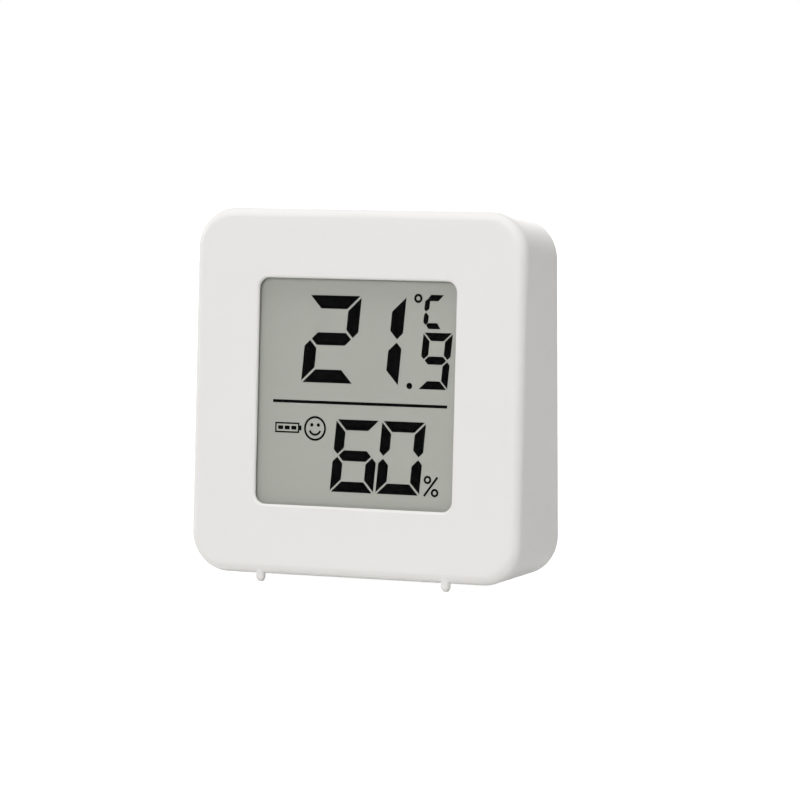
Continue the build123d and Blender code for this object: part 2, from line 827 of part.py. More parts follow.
def coin_cell_can():
    """Positive can: flat rear, round side and a lip crimped over the gasket."""
    outer = Polyline(
        (0, cell_thickness), (cell_radius - can_edge_radius, cell_thickness),
        (cell_radius, cell_thickness - can_edge_radius), (cell_radius, cap_proud + can_wall),
        (cell_radius - can_wall, cap_proud), (cell_radius - crimp_lip, cap_proud),
        (cell_radius - crimp_lip, cap_proud + can_wall), (cell_radius - can_wall, cap_proud + 2 * can_wall),
        (cell_radius - can_wall, cell_thickness - can_edge_radius - can_wall),
        (cell_radius - can_edge_radius, cell_thickness - can_wall),
        (0, cell_thickness - can_wall), close=True)
    return turned_about_cell(make_face(outer))


def coin_cell_cap():
    """Negative cap: shallow pan that stands a little proud of the can's lip."""
    depth = cell_thickness - 2 * can_wall
    outer = Polyline(
        (0, 0), (cap_radius - can_edge_radius, 0), (cap_radius, can_edge_radius), (cap_radius, depth),
        (cap_radius - cap_wall, depth), (cap_radius - cap_wall, can_edge_radius + cap_wall),
        (cap_radius - can_edge_radius - cap_wall, cap_wall), (0, cap_wall), close=True)
    return turned_about_cell(make_face(outer))


def coin_cell_gasket():
    """Ring between the can and the cap."""
    low = cap_proud + 2 * can_wall
    high = cell_thickness - can_edge_radius - can_wall
    ring = Polyline(
        (cap_radius, low), (cap_radius + gasket_width, low), (cap_radius + gasket_width, high),
        (cap_radius, high), close=True)
    return turned_about_cell(make_face(ring))


def coin_cell_core():
    """Pressed electrodes that fill the cell."""
    radius = cap_radius - cap_wall
    low = can_edge_radius + cap_wall
    high = cell_thickness - can_wall
    core = Polyline((0, low), (radius, low), (radius, high), (0, high), close=True)
    return turned_about_cell(make_face(core))


def battery_door():
    """Flat door with a round hinge edge, end pins, inner ribs and a detent at its foot."""
    height = hinge_height - door_low
    outline = Pos(0, door_low + height / 2) * Rectangle(door_width, height)
    door = block(door_inner_y, door_thickness, outline)
    lower = door.edges().filter_by(Axis.Y).sort_by(Axis.Z)[:2]
    door = fillet(lower, door_corner_radius)
    rear = door.faces().sort_by(Axis.Y)[-1].edges().sort_by(Axis.Z)[:-1]
    door = fillet(rear, door_edge_radius)
    door += hinge_rod(hinge_radius, door_width)
    door += hinge_rod(hinge_pin_radius, door_width + 2 * hinge_pin_length)
    for column in (door_rib_column, -door_rib_column):
        rib = Pos(column, cell_height) * SlotOverall(door_rib_length, door_rib_width, rotation=90)
        door += block(door_inner_y - door_rib_height, door_rib_height + root_sink, rib)
    detent_y = (door_inner_y + rear_y) / 2
    detent_place = Pos(0, detent_y, foot_height + door_low + detent_radius - detent_proud)
    return door + detent_place * Rot(0, 90, 0) * Cylinder(detent_radius, detent_length)


def switch_top_y():
    """Y of the switch's plunger top, on its own axis."""
    return face_y(rear_row_height, board_back + switch_body_height + plunger_proud)


def unit_button():
    """Round press button: dished crown, flange behind the wall and a stem to the switch."""
    place = Pos(button_column, rear_row_height)
    crown_y = rear_y - button_recess
    flange_rear = cover_inner_y - button_flange_gap
    flange_front = flange_rear - button_flange_thickness
    button = block(flange_front, crown_y - flange_front, place * Circle(button_radius))
    dish = Pos(button_column, crown_y + button_dish_radius - button_dish_depth, foot_height + rear_row_height)
    button -= dish * Sphere(button_dish_radius)
    button += block(flange_front, button_flange_thickness, place * Circle(button_flange_radius))
    start = switch_top_y() + button_stem_gap
    return button + block(start, flange_front - start, place * Circle(button_stem_radius))


def button_switch():
    """Square push switch on the board with a socket for its plunger and four corner rivets."""
    place = Pos(button_column, face_rise(rear_row_height, board_back))
    body = slab(board_back, switch_body_height, place * RectangleRounded(
        switch_size, switch_size, switch_corner_radius))
    inset = switch_size / 2 - switch_rivet_inset
    top = board_back + switch_body_height
    for across in (inset, -inset):
        for up in (inset, -inset):
            body += slab(top, switch_rivet_height, place * Pos(across, up) * Circle(switch_rivet_radius))
    socket = place * Circle(plunger_radius + plunger_clearance)
    return body - slab(top - plunger_socket_depth, plunger_socket_depth + cut_overrun, socket)


def switch_plunger():
    """Round plunger of the push switch."""
    place = Pos(button_column, face_rise(rear_row_height, board_back))
    start = board_back + switch_body_height - plunger_engagement
    return slab(start, plunger_engagement + plunger_proud, place * Circle(plunger_radius))


def controller_chip():
    """Round drop of resin over the controller."""
    chip = slab(board_back, chip_height, Pos(*chip_place) * Circle(chip_radius))
    return fillet(chip.faces().sort_by(Axis.Y)[-1].edges(), chip_edge_radius)


def humidity_sensor():
    """Sensor case with louvre slots."""
    place = Pos(sensor_column, face_rise(rear_row_height, board_back))
    case = slab(board_back, sensor_depth, place * RectangleRounded(
        sensor_width, sensor_height, sensor_corner_radius))
    for slot in range(sensor_slot_count):
        across = (slot - (sensor_slot_count - 1) / 2) * sensor_slot_pitch
        outline = place * Pos(across, 0) * SlotOverall(sensor_slot_length, sensor_slot_width, rotation=90)
        case -= slab(board_back + sensor_depth - sensor_slot_depth, sensor_slot_depth + cut_overrun, outline)
    return case


def thermistor():
    """Glass bead on two stiff leads."""
    plane = face_at(board_back + bead_lift)
    bead = plane * Pos(*bead_place) * Sphere(bead_radius)
    for across in (bead_lead_spacing / 2, -bead_lead_spacing / 2):
        place = Pos(*bead_place) * Pos(across, 0)
        bead += slab(board_back, bead_lift, place * Circle(bead_lead_radius))
    return bead


def small_parts(place, count, height):
    """Column of small blocks soldered to the board."""
    result = []
    for step in range(count):
        spot = Pos(*place) * Pos(0, step * small_part_pitch)
        result.append(slab(board_back, height, spot * Rectangle(small_part_length, small_part_width)))
    return Compound(children=result)


def main():
    """Build every piece and write it."""
    pieces = {
        "front_housing": front_housing(),
        "window_adhesive": window_adhesive(),
        "display_window": display_window(),
        "lcd_front_polarizer": front_polarizer(),
        "lcd_front_glass": lcd_front_glass(),
        "lcd_rear_glass": lcd_rear_glass(),
        "lcd_rear_reflector": rear_reflector(),
        "display_frame": display_frame(),
        "zebra_strip": zebra_strip(),
        "circuit_board": circuit_board(),
        "board_screws": board_screws(),
        "controller_chip": controller_chip(),
        "humidity_sensor": humidity_sensor(),
        "thermistor": thermistor(),
        "board_capacitors": small_parts(capacitor_place, capacitor_count, capacitor_height),
        "board_resistors": small_parts(resistor_place, resistor_count, resistor_height),
        "button_switch": button_switch(),
        "switch_plunger": switch_plunger(),
        "unit_button": unit_button(),
        "negative_contact": negative_contact(),
        "positive_contact": positive_contact(),
        "coin_cell_can": coin_cell_can(),
        "coin_cell_gasket": coin_cell_gasket(),
        "coin_cell_cap": coin_cell_cap(),
        "coin_cell_core": coin_cell_core(),
        "rear_cover": rear_cover(),
        "rear_cover_screws": rear_cover_screws(),
        "battery_door": battery_door(),
    }
    os.makedirs("parts", exist_ok=True)
    for name, piece in pieces.items():
        export_step(piece, f"parts/{name}.step")
        print(name, round(piece.volume, 1))


if __name__ == "__main__":
    main()
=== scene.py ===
"""Looks of a small square temperature and humidity sensor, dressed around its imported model, in metres."""
import logging
import math
from dataclasses import dataclass, field, replace
from enum import Enum

import bmesh
import bpy
from mathutils import Matrix, Vector


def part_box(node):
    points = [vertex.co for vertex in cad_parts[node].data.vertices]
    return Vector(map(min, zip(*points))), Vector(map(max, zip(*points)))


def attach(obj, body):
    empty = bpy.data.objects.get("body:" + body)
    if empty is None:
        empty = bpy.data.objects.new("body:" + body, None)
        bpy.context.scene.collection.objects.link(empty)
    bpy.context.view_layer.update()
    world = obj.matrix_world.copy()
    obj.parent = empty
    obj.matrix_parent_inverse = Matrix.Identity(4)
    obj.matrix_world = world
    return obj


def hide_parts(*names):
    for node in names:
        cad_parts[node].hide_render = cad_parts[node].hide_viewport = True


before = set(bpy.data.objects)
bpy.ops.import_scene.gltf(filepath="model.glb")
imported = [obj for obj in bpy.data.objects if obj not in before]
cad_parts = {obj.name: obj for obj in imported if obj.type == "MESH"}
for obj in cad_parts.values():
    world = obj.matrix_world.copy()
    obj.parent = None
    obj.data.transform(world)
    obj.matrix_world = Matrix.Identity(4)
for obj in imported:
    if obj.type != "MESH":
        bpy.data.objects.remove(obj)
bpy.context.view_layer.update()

MM = 0.001
MICRON = 0.000001
FULL_TURN = 360.0
MATCH_DISTANCE = 0.002 * MM
ORDER_DIGITS = 5
Socket = bpy.types.NodeSocket
Value = Socket | float | tuple[float, ...]
LOG = logging.getLogger("sensor")
HOUSING = "housing"

# Places of a Mix node's colours among its sockets
MIX_FIRST = 6
MIX_SECOND = 7
MIX_RESULT = 2


# Shader tools

class Paint:
    """A node tree in the making, with short calls for the nodes that the finishes use."""

    def __init__(self, tree: bpy.types.NodeTree) -> None:
        """Starts on a tree.

        Args:
            tree: The tree of a material or of a node group.
        """
        self.tree = tree

    def add(self, kind: str, **settings: object) -> bpy.types.Node:
        """Adds a node and sets its properties.

        Args:
            kind: The node's type name.
            settings: Properties of the node by name.

        Returns:
            The new node.
        """
        node = self.tree.nodes.new(kind)
        for name, value in settings.items():
            setattr(node, name, value)
        return node

    def link(self, source: Socket, target: Socket) -> None:
        """Joins an output to an input."""
        self.tree.links.new(source, target)

    def feed(self, target: Socket, value: Value) -> None:
        """Gives an input a link or a plain value.

        Args:
            target: The input.
            value: A socket, or a number or colour.
        """
        if isinstance(value, Socket):
            self.link(value, target)
        else:
            target.default_value = value

    def math(self, operation: str, first: Value, second: Value = 0.0) -> Socket:
        """Adds a Math node.

        Args:
            operation: The operation's name.
            first: A socket or number.
            second: A socket or number.

        Returns:
            The result.
        """
        node = self.add("ShaderNodeMath", operation=operation)
        self.feed(node.inputs[0], first)
        self.feed(node.inputs[1], second)
        return node.outputs[0]

    def mean(self, first: Socket, second: Socket) -> Socket:
        """Returns the mean of two values."""
        return self.math("DIVIDE", self.math("ADD", first, second), 2.0)

    def noise(self, vector: Socket, scale: Value, detail: float) -> Socket:
        """Adds a noise texture.

        Args:
            vector: The place that it reads.
            scale: Its scale, a socket or a number.
            detail: Its detail.

        Returns:
            The grey value.
        """
        node = self.add("ShaderNodeTexNoise")
        self.link(vector, node.inputs["Vector"])
        self.feed(node.inputs["Scale"], scale)
        node.inputs["Detail"].default_value = detail
        return node.outputs["Fac"]

    def span(self, value: Socket, low: float, high: float) -> Socket:
        """Maps a value from 0 to 1 onto a span.

        Args:
            value: The grey value.
            low: The result at 0.
            high: The result at 1.

        Returns:
            The mapped value.
        """
        node = self.add("ShaderNodeMapRange")
        self.link(value, node.inputs["Value"])
        node.inputs["To Min"].default_value = low
        node.inputs["To Max"].default_value = high
        return node.outputs["Result"]

    def mix(self, factor: Value, first: Value, second: Value) -> Socket:
        """Mixes two colours.

        Args:
            factor: A socket or number.
            first: The colour at 0.
            second: The colour at 1.

        Returns:
            The mixed colour.
        """
        node = self.add("ShaderNodeMix", data_type="RGBA")
        self.feed(node.inputs[0], factor)
        self.feed(node.inputs[MIX_FIRST], first)
        self.feed(node.inputs[MIX_SECOND], second)
        return node.outputs[MIX_RESULT]

    def seen(self) -> Socket:
        """Picks out the rays that show a thing to the eye: camera, glass and mirror rays.

        Returns:
            1 for such a ray, otherwise 0.
        """
        rays = self.add("ShaderNodeLightPath")
        through = self.math("MAXIMUM", rays.outputs["Is Camera Ray"], rays.outputs["Is Transmission Ray"])
        return self.math("MAXIMUM", through, rays.outputs["Is Glossy Ray"])


@dataclass(frozen=True)
class Effect:
    """A shader node group that several finishes share: its name and its inputs with their values."""

    name: str
    inputs: tuple[tuple[str, float], ...]
    outputs: tuple[str, ...]

    def group(self) -> bpy.types.NodeTree:
        """Finds the group, or makes it on the first call.

        Returns:
            The group.
        """
        found = bpy.data.node_groups.get(self.name)
        if found:
            return found
        tree = bpy.data.node_groups.new(self.name, "ShaderNodeTree")
        for label, value in self.inputs:
            socket = tree.interface.new_socket(label, in_out="INPUT", socket_type="NodeSocketFloat")
            socket.default_value = value
        for label in self.outputs:
            tree.interface.new_socket(label, in_out="OUTPUT", socket_type="NodeSocketFloat")
        self.build(Paint(tree))
        return tree

    def build(self, paint: Paint) -> None:
        """Fills the group; each effect has its own."""
        raise NotImplementedError

    def place(self, paint: Paint, **values: float) -> dict[str, Socket]:
        """Puts the group in a material.

        Args:
            paint: The material's tree.
            values: Values of its inputs, by label in lower case.

        Returns:
            Its outputs by name.
        """
        node = paint.add("ShaderNodeGroup", node_tree=self.group())
        for label, value in values.items():
            node.inputs[label.capitalize()].default_value = value
        return {output.name: output for output in node.outputs}


class MouldedGrain(Effect):
    """Fine spark eroded grain of a mould, with slow changes of tone and gloss."""

    fine_detail = 2.0
    slow_detail = 1.0

    def build(self, paint: Paint) -> None:
        """Fills the group with a fine and a slow noise.

        Args:
            paint: The group's tree.
        """
        given = paint.add("NodeGroupInput")
        place = paint.add("ShaderNodeTexCoord").outputs["Object"]
        fine = paint.noise(place, given.outputs["Grain"], self.fine_detail)
        slow = paint.noise(place, given.outputs["Cloud"], self.slow_detail)
        result = paint.add("NodeGroupOutput")
        paint.link(fine, result.inputs["Height"])
        paint.link(slow, result.inputs["Tone"])
        paint.link(paint.mean(fine, slow), result.inputs["Gloss"])


class Brushing(Effect):
    """Fine parallel or round brush lines of a metal sheet."""

    line_detail = 3.0
    cloud_detail = 2.0

    def build(self, paint: Paint) -> None:
        """Fills the group with noise stretched along a direction, or round an axis along Y.

        Args:
            paint: The group's tree.
        """
        given = paint.add("NodeGroupInput")
        place = paint.add("ShaderNodeTexCoord").outputs["Object"]
        parts = paint.add("ShaderNodeSeparateXYZ")
        paint.link(place, parts.inputs[0])
        rise = paint.math("SUBTRACT", parts.outputs["Z"], given.outputs["Centre"])
        across = paint.math("MULTIPLY", parts.outputs["X"], parts.outputs["X"])
        radius = paint.math("SQRT", paint.math("ADD", across, paint.math("MULTIPLY", rise, rise)))
        turned = paint.math("MULTIPLY", radius, given.outputs["Round"])
        straight_share = paint.math("SUBTRACT", 1.0, given.outputs["Round"])
        straight = paint.math("MULTIPLY", parts.outputs["Z"], straight_share)
        line = paint.add("ShaderNodeCombineXYZ")
        paint.link(paint.math("ADD", turned, straight), line.inputs["X"])
        lines = paint.noise(line.outputs[0], given.outputs["Lines"], self.line_detail)
        cloud = paint.noise(place, given.outputs["Cloud"], self.cloud_detail)
        result = paint.add("NodeGroupOutput")
        paint.link(lines, result.inputs["Height"])
        paint.link(paint.mean(lines, cloud), result.inputs["Gloss"])
        paint.link(cloud, result.inputs["Tone"])


class Stripes(Effect):
    """Even stripes across X, as in a layered rubber strip."""

    def build(self, paint: Paint) -> None:
        """Fills the group with a sawtooth of X cut at a share of its pitch.

        Args:
            paint: The group's tree.
        """
        given = paint.add("NodeGroupInput")
        place = paint.add("ShaderNodeTexCoord").outputs["Object"]
        parts = paint.add("ShaderNodeSeparateXYZ")
        paint.link(place, parts.inputs[0])
        phase = paint.math("FRACT", paint.math("DIVIDE", parts.outputs["X"], given.outputs["Pitch"]))
        mask = paint.math("LESS_THAN", phase, given.outputs["Share"])
        result = paint.add("NodeGroupOutput")
        paint.link(mask, result.inputs["Mask"])


GRAIN = MouldedGrain("moulded_grain", (("Grain", 6000.0), ("Cloud", 60.0)), ("Height", "Tone", "Gloss"))
BRUSH = Brushing("metal_brushing", (("Lines", 9000.0), ("Cloud", 120.0), ("Round", 0.0), ("Centre", 0.0)),
                 ("Height", "Tone", "Gloss"))
STRIPES = Stripes("even_stripes", (("Pitch", 0.4 * MM), ("Share", 0.5)), ("Mask",))

Colour = tuple[float, float, float]
WHITE = (1.0, 1.0, 1.0)


def rgba(colour: Colour) -> tuple[float, float, float, float]:
    """Returns a colour with full alpha."""
    return (*colour, 1.0)


# Finishes

@dataclass(frozen=True)
class Finish:
    """A surface finish that makes one material."""

    name: str
    colour: Colour

    def material(self) -> bpy.types.Material:
        """Finds the material, or makes it on the first call.

        Returns:
            The material.
        """
        label = f"{self.name}_finish"
        found = bpy.data.materials.get(label)
        if found:
            return found
        made = bpy.data.materials.new(label)
        made.use_nodes = True
        paint = Paint(made.node_tree)
        self.dress(paint, made.node_tree.nodes["Principled BSDF"])
        return made

    def dress(self, paint: Paint, shader: bpy.types.Node) -> None:
        """Sets up the shader; each finish has its own."""
        raise NotImplementedError

    @staticmethod
    def bump(paint: Paint, shader: bpy.types.Node, height: Socket, depth: float) -> None:
        """Adds a bump to the shader.

        Args:
            paint: The material's tree.
            shader: The shader that it feeds.
            height: The height, from 0 to 1.
            depth: The height's real size in metres.
        """
        node = paint.add("ShaderNodeBump")
        node.inputs["Strength"].default_value = 1.0
        node.inputs["Distance"].default_value = depth
        paint.link(height, node.inputs["Height"])
        paint.link(node.outputs[0], shader.inputs["Normal"])


@dataclass(frozen=True)
class MouldedPlastic(Finish):
    """Opaque moulded plastic with a fine grain."""

    tone_change: float = 0.02
    rough_low: float = 0.46
    rough_high: float = 0.60
    grain: float = 5200.0
    grain_depth: float = 2.2 * MICRON
    specular: float = 0.4

    def dress(self, paint: Paint, shader: bpy.types.Node) -> None:
        """Feeds colour, roughness and bump from the grain.

        Args:
            paint: The material's tree.
            shader: Its shader.
        """
        grain = GRAIN.place(paint, grain=self.grain)
        shade = tuple(c * (1 - self.tone_change) for c in self.colour)
        paint.link(paint.mix(grain["Tone"], rgba(shade), rgba(self.colour)), shader.inputs["Base Color"])
        paint.link(paint.span(grain["Gloss"], self.rough_low, self.rough_high), shader.inputs["Roughness"])
        shader.inputs["Specular IOR Level"].default_value = self.specular
        self.bump(paint, shader, grain["Height"], self.grain_depth)


@dataclass(frozen=True)
class BrushedMetal(Finish):
    """Bright metal with brush lines, straight or round."""

    round_share: float = 0.0
    centre: float = 0.0
    rough_low: float = 0.22
    rough_high: float = 0.40
    lines: float = 9000.0
    line_depth: float = 2.0 * MICRON
    dark_share: float = 0.86

    def dress(self, paint: Paint, shader: bpy.types.Node) -> None:
        """Feeds colour, roughness and bump from the brushing.

        Args:
            paint: The material's tree.
            shader: Its shader.
        """
        marks = BRUSH.place(paint, lines=self.lines, round=self.round_share, centre=self.centre)
        dark = tuple(c * self.dark_share for c in self.colour)
        paint.link(paint.mix(marks["Gloss"], rgba(dark), rgba(self.colour)), shader.inputs["Base Color"])
        paint.link(paint.span(marks["Gloss"], self.rough_low, self.rough_high), shader.inputs["Roughness"])
        shader.inputs["Metallic"].default_value = 1.0
        self.bump(paint, shader, marks["Height"], self.line_depth)


@dataclass(frozen=True)
class ClearSheet(Finish):
    """Clear window or glass that lets light fall straight through."""

    ior: float = 1.45
    specular: float = 0.05
    roughness: float = 0.0
    roughness_change: float = 0.01
    tint_share: float = 0.995
    grain: float = 900.0

    def dress(self, paint: Paint, shader: bpy.types.Node) -> None:
        """Sets plain transmission and lets shadow rays and scattered rays pass.

        Args:
            paint: The material's tree.
            shader: Its shader.
        """
        grain = GRAIN.place(paint, grain=self.grain)
        tinted = tuple(c * self.tint_share for c in self.colour)
        paint.link(paint.mix(grain["Tone"], rgba(tinted), rgba(self.colour)), shader.inputs["Base Color"])
        rough = paint.span(grain["Gloss"], self.roughness, self.roughness + self.roughness_change)
        paint.link(rough, shader.inputs["Roughness"])
        shader.inputs["Transmission Weight"].default_value = 1.0
        shader.inputs["IOR"].default_value = self.ior
        shader.inputs["Specular IOR Level"].default_value = self.specular
        clear = paint.add("ShaderNodeBsdfTransparent")
        rays = paint.add("ShaderNodeLightPath")
        both = paint.add("ShaderNodeMixShader")
        output = paint.tree.nodes["Material Output"]
        soft = paint.math("MAXIMUM", rays.outputs["Is Shadow Ray"], rays.outputs["Is Diffuse Ray"])
        paint.link(soft, both.inputs[0])
        paint.link(shader.outputs[0], both.inputs[1])
        paint.link(clear.outputs[0], both.inputs[2])
        paint.link(both.outputs[0], output.inputs["Surface"])


@dataclass(frozen=True)
class StripedRubber(Finish):
    """Layered contact rubber: dark carbon layers between pale ones."""

    layer: Colour = (0.5, 0.5, 0.48)
    pitch: float = 0.2 * MM
    dark_share: float = 0.5
    rough_low: float = 0.6
    rough_high: float = 0.75
    grain: float = 3000.0
    grain_depth: float = 3.0 * MICRON

    def dress(self, paint: Paint, shader: bpy.types.Node) -> None:
        """Feeds the colour from stripes.

        Args:
            paint: The material's tree.
            shader: Its shader.
        """
        stripes = STRIPES.place(paint, pitch=self.pitch, share=self.dark_share)
        grain = GRAIN.place(paint, grain=self.grain)
        layers = paint.mix(stripes["Mask"], rgba(self.layer), rgba(self.colour))
        paint.link(layers, shader.inputs["Base Color"])
        paint.link(paint.span(grain["Gloss"], self.rough_low, self.rough_high), shader.inputs["Roughness"])
        self.bump(paint, shader, grain["Height"], self.grain_depth)


@dataclass(frozen=True)
class SolderMask(Finish):
    """Green solder mask over woven glass laminate, with the weave faintly raised."""

    weave: float = 2200.0
    weave_depth: float = 4.0 * MICRON
    pale_factor: float = 1.5
    rough_low: float = 0.22
    rough_high: float = 0.34
    grain: float = 1500.0

    def dress(self, paint: Paint, shader: bpy.types.Node) -> None:
        """Feeds colour from a noise and bump from two crossed waves.

        Args:
            paint: The material's tree.
            shader: Its shader.
        """
        place = paint.add("ShaderNodeTexCoord").outputs["Object"]
        waves = []
        for direction in ("X", "Z"):
            wave = paint.add("ShaderNodeTexWave", bands_direction=direction)
            paint.link(place, wave.inputs["Vector"])
            wave.inputs["Scale"].default_value = self.weave
            waves.append(wave.outputs["Fac"])
        height = paint.math("MAXIMUM", waves[0], waves[1])
        grain = GRAIN.place(paint, grain=self.grain)
        pale = tuple(c * self.pale_factor for c in self.colour)
        paint.link(paint.mix(grain["Tone"], rgba(self.colour), rgba(pale)), shader.inputs["Base Color"])
        paint.link(paint.span(grain["Gloss"], self.rough_low, self.rough_high), shader.inputs["Roughness"])
        self.bump(paint, shader, height, self.weave_depth)


WHITE_PLASTIC = MouldedPlastic("white_housing_plastic", (0.83, 0.816, 0.800))
COVER_PLASTIC = MouldedPlastic("white_cover_plastic", (0.82, 0.806, 0.790), grain=4200.0,
                               grain_depth=4.0 * MICRON)
BUTTON_PLASTIC = MouldedPlastic("pale_button_plastic", (0.70, 0.70, 0.69), grain=7000.0,
                                grain_depth=1.2 * MICRON, rough_low=0.34, rough_high=0.44)
FRAME_PLASTIC = MouldedPlastic("frame_plastic", (0.74, 0.74, 0.73))
SENSOR_PLASTIC = MouldedPlastic("sensor_case_plastic", (0.78, 0.78, 0.76))
SWITCH_PLASTIC = MouldedPlastic("switch_plastic", (0.03, 0.03, 0.033), rough_low=0.4, rough_high=0.55)
FILM = MouldedPlastic("display_film", (0.422, 0.43, 0.392), grain=14000.0, grain_depth=0.6 * MICRON,
                      tone_change=0.012, rough_low=0.6, rough_high=0.7, specular=0.1)
INK = MouldedPlastic("display_segment", (0.0032, 0.0032, 0.0034), grain=16000.0, grain_depth=0.3 * MICRON,
                     tone_change=0.05, rough_low=0.7, rough_high=0.8, specular=0.0)
REFLECTOR = MouldedPlastic("display_reflector", (0.62, 0.62, 0.60), rough_low=0.3, rough_high=0.4)
ADHESIVE = MouldedPlastic("clear_adhesive", (0.72, 0.71, 0.68), rough_low=0.2, rough_high=0.35)
WINDOW = ClearSheet("clear_window", WHITE, ior=1.06)
GLASS = ClearSheet("display_glass", (0.90, 0.96, 0.93), ior=1.52, specular=0.5)
RUBBER = StripedRubber("contact_rubber", (0.03, 0.03, 0.032))
LAMINATE = SolderMask("board_laminate", (0.012, 0.10, 0.035))
RESIN = MouldedPlastic("chip_resin", (0.012, 0.012, 0.013), rough_low=0.22, rough_high=0.32, grain=900.0)
CERAMIC = MouldedPlastic("capacitor_ceramic", (0.42, 0.29, 0.17), rough_low=0.35, rough_high=0.5)
RESISTOR_BODY = MouldedPlastic("resistor_body", (0.02, 0.02, 0.022), rough_low=0.25, rough_high=0.4)
BEAD = MouldedPlastic("sensor_bead", (0.05, 0.045, 0.04), rough_low=0.1, rough_high=0.2)
GASKET = MouldedPlastic("cell_gasket", (0.12, 0.14, 0.20))
CORE = MouldedPlastic("cell_core", (0.05, 0.05, 0.05), rough_low=0.8, rough_high=0.9)
SCREW_STEEL = BrushedMetal("screw_steel", (0.40, 0.40, 0.39), rough_low=0.28, rough_high=0.42)
SPRING_METAL = BrushedMetal("contact_metal", (0.48, 0.46, 0.41))
TIN = BrushedMetal("solder_tin", (0.66, 0.67, 0.68), rough_low=0.2, rough_high=0.5, lines=2000.0)
GOLD = BrushedMetal("gilt_copper", (0.83, 0.60, 0.28), rough_low=0.25, rough_high=0.4)
# Dark steel for the coin cell's plus sign, and painted shade for the cell's pressed ring
MARK_AND_SHADE_STEEL = BrushedMetal("mark_and_shade_steel", (0.09, 0.09, 0.088), rough_low=0.4, rough_high=0.55)
TRACK = MouldedPlastic("masked_track", (0.03, 0.20, 0.07), rough_low=0.22, rough_high=0.34)
PRINT = MouldedPlastic("white_print", (0.72, 0.72, 0.70), rough_low=0.5, rough_high=0.6)


def cell_steel() -> BrushedMetal:
    """Makes the finish of the coin cell's steel, brushed round the cell's own axis.

    Returns:
        The finish.
    """
    low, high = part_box("coin_cell_can")
    return BrushedMetal("cell_steel", (0.27, 0.27, 0.265), round_share=1.0, centre=(low.z + high.z) / 2,
                        rough_low=0.3, rough_high=0.46)


# Mesh tools

def keep(mesh_or_bmesh: bpy.types.Mesh | bmesh.types.BMesh, name: str, finish: Finish, body: str) -> bpy.types.Object:
    """Makes a finished piece that rides on a body.

    Args:
        mesh_or_bmesh: Its mesh, or the bmesh that holds it.
        name: The piece's name.
        finish: Its finish.
        body: The body that it moves with.

    Returns:
        The piece.
    """
    mesh = mesh_or_bmesh
    if isinstance(mesh, bmesh.types.BMesh):
        mesh = bpy.data.meshes.new(name)
        mesh_or_bmesh.to_mesh(mesh)
        mesh_or_bmesh.free()
    piece = bpy.data.objects.new(name, mesh)
    bpy.context.scene.collection.objects.link(piece)
    mesh.materials.clear()
    mesh.materials.append(finish.material())
    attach(piece, body)
    LOG.info("piece %s on %s, %d faces", name, body, len(mesh.polygons))
    return piece


@dataclass
class EvenShading:
    """Corner normals of a moulded form: flat faces stay flat up to their rim, and roundings shade smoothly.

    Faces that lie in one plane count as one face, so long thin triangles on a flat wall leave no streaks.
    A face too thin to have a normal counts as turned by the angle unlike.
    """

    form: bmesh.types.BMesh
    sharp_degrees: float = 24.0
    flat_degrees: float = 0.4
    main_factor: float = 3.0
    unlike: float = math.pi

    def regions(self) -> list[float]:
        """Groups the faces that lie in one plane.

        Returns:
            The area of each face's group, by the face's index.
        """
        limit = math.radians(self.flat_degrees)
        areas = [0.0] * len(self.form.faces)
        seen = [False] * len(self.form.faces)
        for start in self.form.faces:
            if seen[start.index]:
                continue
            seen[start.index] = True
            group, ahead = [], [start]
            while ahead:
                face = ahead.pop()
                group.append(face)
                for edge in face.edges:
                    for near in edge.link_faces:
                        if not seen[near.index] and near.normal.angle(start.normal, self.unlike) < limit:
                            seen[near.index] = True
                            ahead.append(near)
            total = sum(face.calc_area() for face in group)
            for face in group:
                areas[face.index] = total
        return areas

    def fan(self, loop: bmesh.types.BMLoop, limit: float) -> list[bmesh.types.BMLoop]:
        """Collects the corners round a vertex that no sharp edge parts from a corner.

        Args:
            loop: The corner.
            limit: The angle of a sharp edge in radians.

        Returns:
            The corners, with the first among them.
        """
        found, ahead = {loop.face.index: loop}, [loop]
        while ahead:
            here = ahead.pop()
            for edge in (here.edge, here.link_loop_prev.edge):
                for near in edge.link_loops:
                    turn = near.face.normal.angle(here.face.normal, self.unlike)
                    if near.face.index in found or turn > limit:
                        continue
                    corner = near if near.vert is loop.vert else near.link_loop_next
                    found[near.face.index] = corner
                    ahead.append(corner)
        return list(found.values())

    def normals(self) -> list[Vector]:
        """Works out one normal for each corner.

        Returns:
            The normals, in the mesh's own order.
        """
        self.form.faces.index_update()
        self.form.normal_update()
        areas = self.regions()
        sharp, flat = math.radians(self.sharp_degrees), math.radians(self.flat_degrees)
        result = []
        for face in self.form.faces:
            for loop in face.loops:
                around = self.fan(loop, sharp)
                largest = max(around, key=lambda corner: areas[corner.face.index])
                others = [areas[corner.face.index] for corner in around
                          if corner.face.normal.angle(largest.face.normal, self.unlike) > flat]
                if areas[largest.face.index] > self.main_factor * max(others, default=0.0):
                    result.append(largest.face.normal.copy())
                    continue
                total = Vector()
                for corner in around:
                    total += corner.face.normal * corner.calc_angle()
                result.append(total.normalized())
        return result


